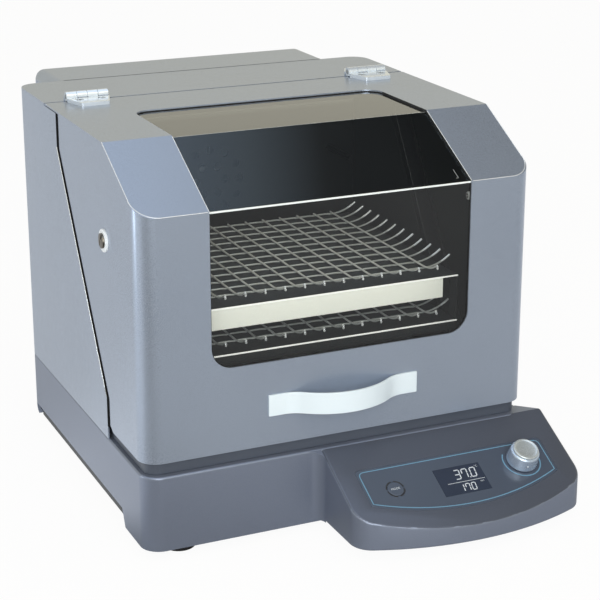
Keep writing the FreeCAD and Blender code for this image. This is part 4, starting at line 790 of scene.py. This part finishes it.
# Control panel: local x to the right, t up the slope, h out of the face
panel = {"origin": (102.5, -241.024, 58.945), "slope": 27.0, "half": 106.0, "top": 28.0, "low": -17.0,
         "bow": 22.0, "knob": (73.0, 3.0), "button": (-73.0, -2.0)}
ink = {"lift": 0.03, "thick": 0.03, "border": 3.2, "borderCorner": 6.0, "borderWidth": 1.1, "ringWidth": 1.3,
       "knobRing": (20.0, 145.0, 375.0), "buttonRing": 9.4, "buttonArc": 76.0,
       "buttonStarts": (7.0, 97.0, 187.0, 277.0), "bowSteps": 60, "ringSteps": 64, "arcSteps": 20}
slopeTurn = math.radians(panel["slope"])
panelAxes = np.array([[1.0, 0.0, 0.0], [0.0, math.cos(slopeTurn), math.sin(slopeTurn)],
                      [0.0, -math.sin(slopeTurn), math.cos(slopeTurn)]])


def onPanel(local):
    # Points given as (x, t, h) in millimetres, placed on the sloped face
    return (np.array(panel["origin"]) + np.asarray(local) @ panelAxes) * mm


def inkLine(path, width, lift=ink["lift"], closed=False):
    # A flat strip carried along a path (x, t): centre + offset * normal, from its lift up to its thickness
    path = np.asarray(path, float)
    along = np.gradient(path, axis=0)
    if closed:
        along = np.roll(path, -1, 0) - np.roll(path, 1, 0)
    along /= np.linalg.norm(along, axis=1, keepdims=True)
    normal = np.stack([-along[:, 1], along[:, 0]], 1)
    left, right = path + normal * width / 2, path - normal * width / 2
    low, high = np.full((len(path), 1), lift), np.full((len(path), 1), lift + ink["thick"])
    corners = ((left, low), (right, low), (right, high), (left, high))
    rows = np.stack([np.hstack(corner) for corner in corners], 1)
    return stitched(onPanel(rows), closedAlong=closed, capped=not closed)


def borderPath(inset, cornerRadius):
    # The fascia's outline moved inwards: two sides, a straight top with eased corners and a bowed bottom
    half, top = panel["half"] - inset, panel["top"] - inset
    bowRadius = (panel["half"] ** 2 + panel["bow"] ** 2) / (2 * panel["bow"])
    centre = panel["low"] - panel["bow"] + bowRadius
    radius = bowRadius - inset
    x = np.linspace(-half, half, ink["bowSteps"])
    bottom = np.stack([x, centre - np.sqrt(radius ** 2 - x ** 2)], 1)
    low = bottom[0, 1]
    sides = eased([(half, low, 0), (half, top, cornerRadius), (-half, top, cornerRadius), (-half, low, 0)])
    return np.vstack([bottom[1:-1], sides])


def arcPath(centre, radius, start, end, count):
    turn = np.radians(np.linspace(start, end, count))
    return np.stack([centre[0] + radius * np.cos(turn), centre[1] + radius * np.sin(turn)], 1)


border = borderPath(ink["border"], ink["borderCorner"])
makePiece("fasciaBorder", [inkLine(border, ink["borderWidth"], closed=True)], borderInk, "base")
knobArc = arcPath(panel["knob"], *ink["knobRing"], ink["ringSteps"])
makePiece("knobRingPrint", [inkLine(knobArc, ink["ringWidth"])], borderInk, "base")
# Dark arcs round the button: painted shade of its recess
buttonArcs = [arcPath(panel["button"], ink["buttonRing"], start, start + ink["buttonArc"], ink["arcSteps"])
              for start in ink["buttonStarts"]]
makePiece("buttonRingPrint", [inkLine(arc, ink["ringWidth"]) for arc in buttonArcs], recessShade, "base")

# Display: figures with a rule between them, lifted above the glass
display = {"large": ("37.0", -6.0, -5.0, 11.2, 1.15), "small": ("170", -7.5, -20.6, 8.6, 1.0),
           "rule": [(-17.5, -8.9), (24.5, -8.9)], "ruleWidth": 0.5, "lift": 0.05, "lean": 0.12, "wide": 0.5,
           "spacing": 2.4, "cut": 0.35, "dot": (-0.9, 0.1)}


def segmentDigits(text, left, low, height, stroke):
    # Seven-segment figures: each bar is a short strip, leaned sideways by a share of its height
    bars = {"a": (0, 1, 1, 1), "b": (1, 1, 1, 0.5), "c": (1, 0.5, 1, 0), "d": (0, 0, 1, 0),
            "e": (0, 0.5, 0, 0), "f": (0, 1, 0, 0.5), "g": (0, 0.5, 1, 0.5)}
    shapes = {"0": "abcdef", "1": "bc", "3": "abcdg", "7": "abcf"}
    width, parts, x = height * display["wide"], [], left
    for letter in text:
        if letter == ".":
            dot = [(x + stroke * share, low) for share in display["dot"]]
            parts.append(inkLine(dot, stroke, display["lift"]))
            x += stroke
            continue
        for bar in shapes[letter]:
            x0, t0, x1, t1 = bars[bar]
            ends = np.array([[x + x0 * width, low + t0 * height], [x + x1 * width, low + t1 * height]])
            inward = (ends[1] - ends[0]) / np.linalg.norm(ends[1] - ends[0]) * stroke * display["cut"]
            line = np.array([ends[0] + inward, ends[1] - inward])
            line[:, 0] += (line[:, 1] - low) * display["lean"]
            parts.append(inkLine(line, stroke, display["lift"]))
        x += width + stroke * display["spacing"]
    return parts


litParts = segmentDigits(*display["large"]) + segmentDigits(*display["small"])
litParts.append(inkLine(display["rule"], display["ruleWidth"], display["lift"]))
makePiece("displayFigures", litParts, litSegment, "base")

# Words: the text, the piece's name, its place, size and finish, its body and its lift
words = [("MODE", "buttonWord", panel["button"], 3.4, paleInk, "mode_button", 0.44),
         ("°C", "degreeMark", (21.5, 7.0), 3.2, litSegment, "base", 0.06),
         ("rpm", "speedMark", (20.0, -11.8), 2.6, litSegment, "base", 0.06)]
wordDepth = 0.015
for text, name, at, size, material, body, lift in words:
    # Lettering as a flat mesh, centred on a point of the panel
    font = bpy.data.curves.new(name, "FONT")
    font.body = text
    font.size = size * mm
    font.extrude = wordDepth * mm
    font.align_x, font.align_y = "CENTER", "CENTER"
    holder = bpy.data.objects.new(name + "Curve", font)
    link(holder)
    bpy.context.view_layer.update()
    mesh = bpy.data.meshes.new_from_object(holder.evaluated_get(bpy.context.evaluated_depsgraph_get()))
    bpy.data.objects.remove(holder)
    turn = Matrix(panelAxes.T.tolist()).to_4x4()
    mesh.transform(Matrix.Translation(Vector(onPanel((*at, lift)) + middle * mm)) @ turn)
    mesh.name = name
    placePiece(name, mesh, material, body, (), plainSplit, None)
print("panel printed")


# Jog knob: a tapered skirt with an eased shoulder, a dished cap with a pale rim, and a pale dot
knob = {"skirt": [(8.0, 1.4, 0), (16.5, 1.4, 0.3), (15.1, 14.6, 1.0), (13.6, 15.9, 0.3), (8.0, 15.9, 0)],
        "cap": [(0.0, 15.9, 0), (13.2, 15.9, 0.2), (13.5, 17.4, 0.5), (12.7, 18.4, 0.5), (11.6, 18.35, 0.5),
                (10.6, 17.85, 0.8), (5.0, 17.55, 2.0), (0.0, 17.5, 0)],
        "dot": [(0.0, -0.6), (0.8, -0.6), (0.8, 0.35), (0.5, 0.5), (0.0, 0.5)], "dotAt": (-3.0, -15.7, 8.5),
        "sides": 64, "dotSides": 16, "split": 40.0}
knobCentre = np.array(panel["origin"]) + np.array([*panel["knob"], 0.0]) @ panelAxes
skirtRows = turned(eased(knob["skirt"]), knobCentre, panelAxes, knob["sides"])
makePiece("knobSkirt", [stitched(skirtRows, closedAlong=True)], finishes["knob_grey"], "jog_knob",
          ("knob_skirt",), knob["split"], "knob_grey")
capRows = turned(eased(knob["cap"]), knobCentre, panelAxes, knob["sides"])
makePiece("knobCap", [stitched(capRows)], finishes["knob_silver"], "jog_knob", ("knob_cap",), knob["split"],
          "knob_silver")
dotCentre = knobCentre + np.array(knob["dotAt"]) @ panelAxes
dotAxes = panelAxes[[0, 2, 1]] * [[1], [1], [-1]]
dotRows = turned(knob["dot"], dotCentre, dotAxes, knob["dotSides"])
makePiece("knobDot", [stitched(dotRows)], paleInk, "jog_knob")
print("knob turned")


# Fasteners: a crowned head with a cross or a slot cut into it, and its shank
crown = {"rows": 15, "inset": 0.15, "rim": 0.2}
crossCut = {"cross": True, "width": 0.9, "depth": 0.9, "reach": 2.2}
plateCut = {**crossCut, "depth": 0.7}
slotCut = {"cross": False, "width": 1.8, "depth": 1.1, "reach": 9.0}


def recessed(profile, centre, axes, cut):
    # The turned profile, lowered where the crown's own (x, y) falls inside the recess
    rows = turned(profile, (0.0, 0.0, 0.0), np.eye(3)) / mm
    x, y = np.abs(rows[:crown["rows"], :, 0]), np.abs(rows[:crown["rows"], :, 1])
    slot = (y < cut["width"] / 2) & (x < cut["reach"])
    if cut["cross"]:
        slot = slot | ((x < cut["width"] / 2) & (y < cut["reach"]))
    rows[:crown["rows"], :, 2] -= cut["depth"] * slot
    return stitched((np.array(centre) + rows @ np.array(axes)) * mm)


def headProfile(radius, fall, edge, shank, length):
    # Crown falls as the square of the distance from the middle, then the rim, the underside and the shank
    r = np.linspace(0.0, radius - crown["inset"], crown["rows"])
    crownLine = np.stack([r, -fall * (r / radius) ** 2], 1)
    rest = [(radius, -fall - crown["rim"]), (radius, -edge), (shank, -edge), (shank, -length), (0.0, -length)]
    return np.vstack([crownLine, rest])


# Screws: heads face up on the hinge leaves, back behind the handle, and down under the bottom pan
leafScrew = {"head": (4.0, 0.25, 2.0, 2.0, 13.4), "hinges": (-164.0, 164.0), "spread": 12.0, "axis": 105.5,
             "reach": 15.0, "top": 401.0, "axes": np.eye(3)}
handleScrew = {"head": (4.0, 0.3, 2.0, 2.0, 4.6), "xs": (-73.5, 73.5), "y": -180.5, "z": 143.0,
               "axes": [[1, 0, 0], [0, 0, -1], [0, 1, 0]]}
panScrew = {"head": (4.0, 0.4, 1.2, 3.6, 2.0), "xs": (-170.0, 0.0, 170.0), "front": -186.5, "rear": 211.5,
            "z": 10.0, "axes": [[1, 0, 0], [0, -1, 0], [0, 0, -1]]}
leafXs = [x + side for x in leafScrew["hinges"] for side in (-leafScrew["spread"], leafScrew["spread"])]
leafProfile = headProfile(*leafScrew["head"])
hoodScrews, cabinetScrews = ([recessed(leafProfile, (x, leafScrew["axis"] + reach, leafScrew["top"]),
                                       leafScrew["axes"], crossCut) for x in leafXs]
                             for reach in (-leafScrew["reach"], leafScrew["reach"]))
handleProfile = headProfile(*handleScrew["head"])
hoodScrews += [recessed(handleProfile, (x, handleScrew["y"], handleScrew["z"]), handleScrew["axes"], crossCut)
               for x in handleScrew["xs"]]
panProfile = headProfile(*panScrew["head"])
panThird = (panScrew["rear"] - panScrew["front"]) / 3
panYs = (panScrew["front"] + panThird, panScrew["rear"] - panThird)
cabinetScrews += [recessed(panProfile, (x, y, panScrew["z"]), panScrew["axes"], plateCut)
                  for x in panScrew["xs"] for y in panYs]
for node, screws, body in (("hood_screws", hoodScrews, "lid"), ("cabinet_screws", cabinetScrews, "base")):
    makePiece(camel(node), screws, finishes[slotOf[node]], body, (node,), screwSplit, slotOf[node])

# Side bolts: white washers with slotted heads outside, round nuts inside
bolt = {"y": -86.5, "z": 300.0, "face": 210.0, "seat": 215.0, "lining": 195.0, "slotTurn": (0.5, 0.866),
        "head": (7.5, 0.7, 2.5, 2.5, 25.0),
        "washer": [(2.8, 0.0, 0), (11.5, 0.0, 0.2), (11.5, 2.5, 0.7), (2.8, 2.5, 0)],
        "nut": [(0.0, 0.0, 0), (4.5, 0.0, 0.3), (4.5, 4.4, 1.4), (0.0, 5.2, 0)], "nutSides": 36}
bolts, nuts, washers = [], [], []
for side in (-1, 1):
    level, upright = bolt["slotTurn"]
    tilted = [[0, side * level, upright], [0, -side * upright, level], [side, 0, 0]]
    headAt, nutAt, washerAt = ((side * bolt[key], bolt["y"], bolt["z"]) for key in ("seat", "lining", "face"))
    bolts.append(recessed(headProfile(*bolt["head"]), headAt, tilted, slotCut))
    inward = [[0, side, 0], [0, 0, 1], [-side, 0, 0]]
    nuts.append(stitched(turned(eased(bolt["nut"]), nutAt, inward, bolt["nutSides"])))
    outward = [[0, side, 0], [0, 0, 1], [side, 0, 0]]
    washers.append(stitched(turned(eased(bolt["washer"]), washerAt, outward), closedAlong=True))
makePiece("sideBolts", bolts, darkBolt, "lid", ("side_bolts",), plainSplit, slotOf["side_bolts"])
# The nuts take the painted glint: bright white for their highlight
makePiece("sideNuts", nuts, cutSteel, "lid", (), plainSplit, slotOf["side_bolts"])
makePiece("sideWashers", washers, finishes["white_nylon"], "lid", ("side_washers",), plainSplit,
          "white_nylon")

# Rubber feet with a waist and a grip groove
foot = {"places": [(-167.0, -158.5), (167.0, -158.5), (-167.0, 171.5), (167.0, 171.5)], "sides": 40,
        "profile": [(0.0, 0.0, 0), (12.0, 0.0, 0.3), (12.5, 0.8, 0.3), (13.5, 0.8, 0.3), (14.0, 0.0, 0.3),
                    (16.0, 0.0, 0.8), (17.0, 2.0, 0.8), (16.2, 7.0, 1.5), (17.0, 12.0, 0), (0.0, 12.0, 0)]}
feet = [stitched(turned(eased(foot["profile"]), (x, y, 0.0), np.eye(3), foot["sides"]))
        for x, y in foot["places"]]
makePiece("rubberFeet", feet, finishes["black_rubber"], "base", ("rubber_feet",), plainSplit, "black_rubber")
print("fasteners and feet made")
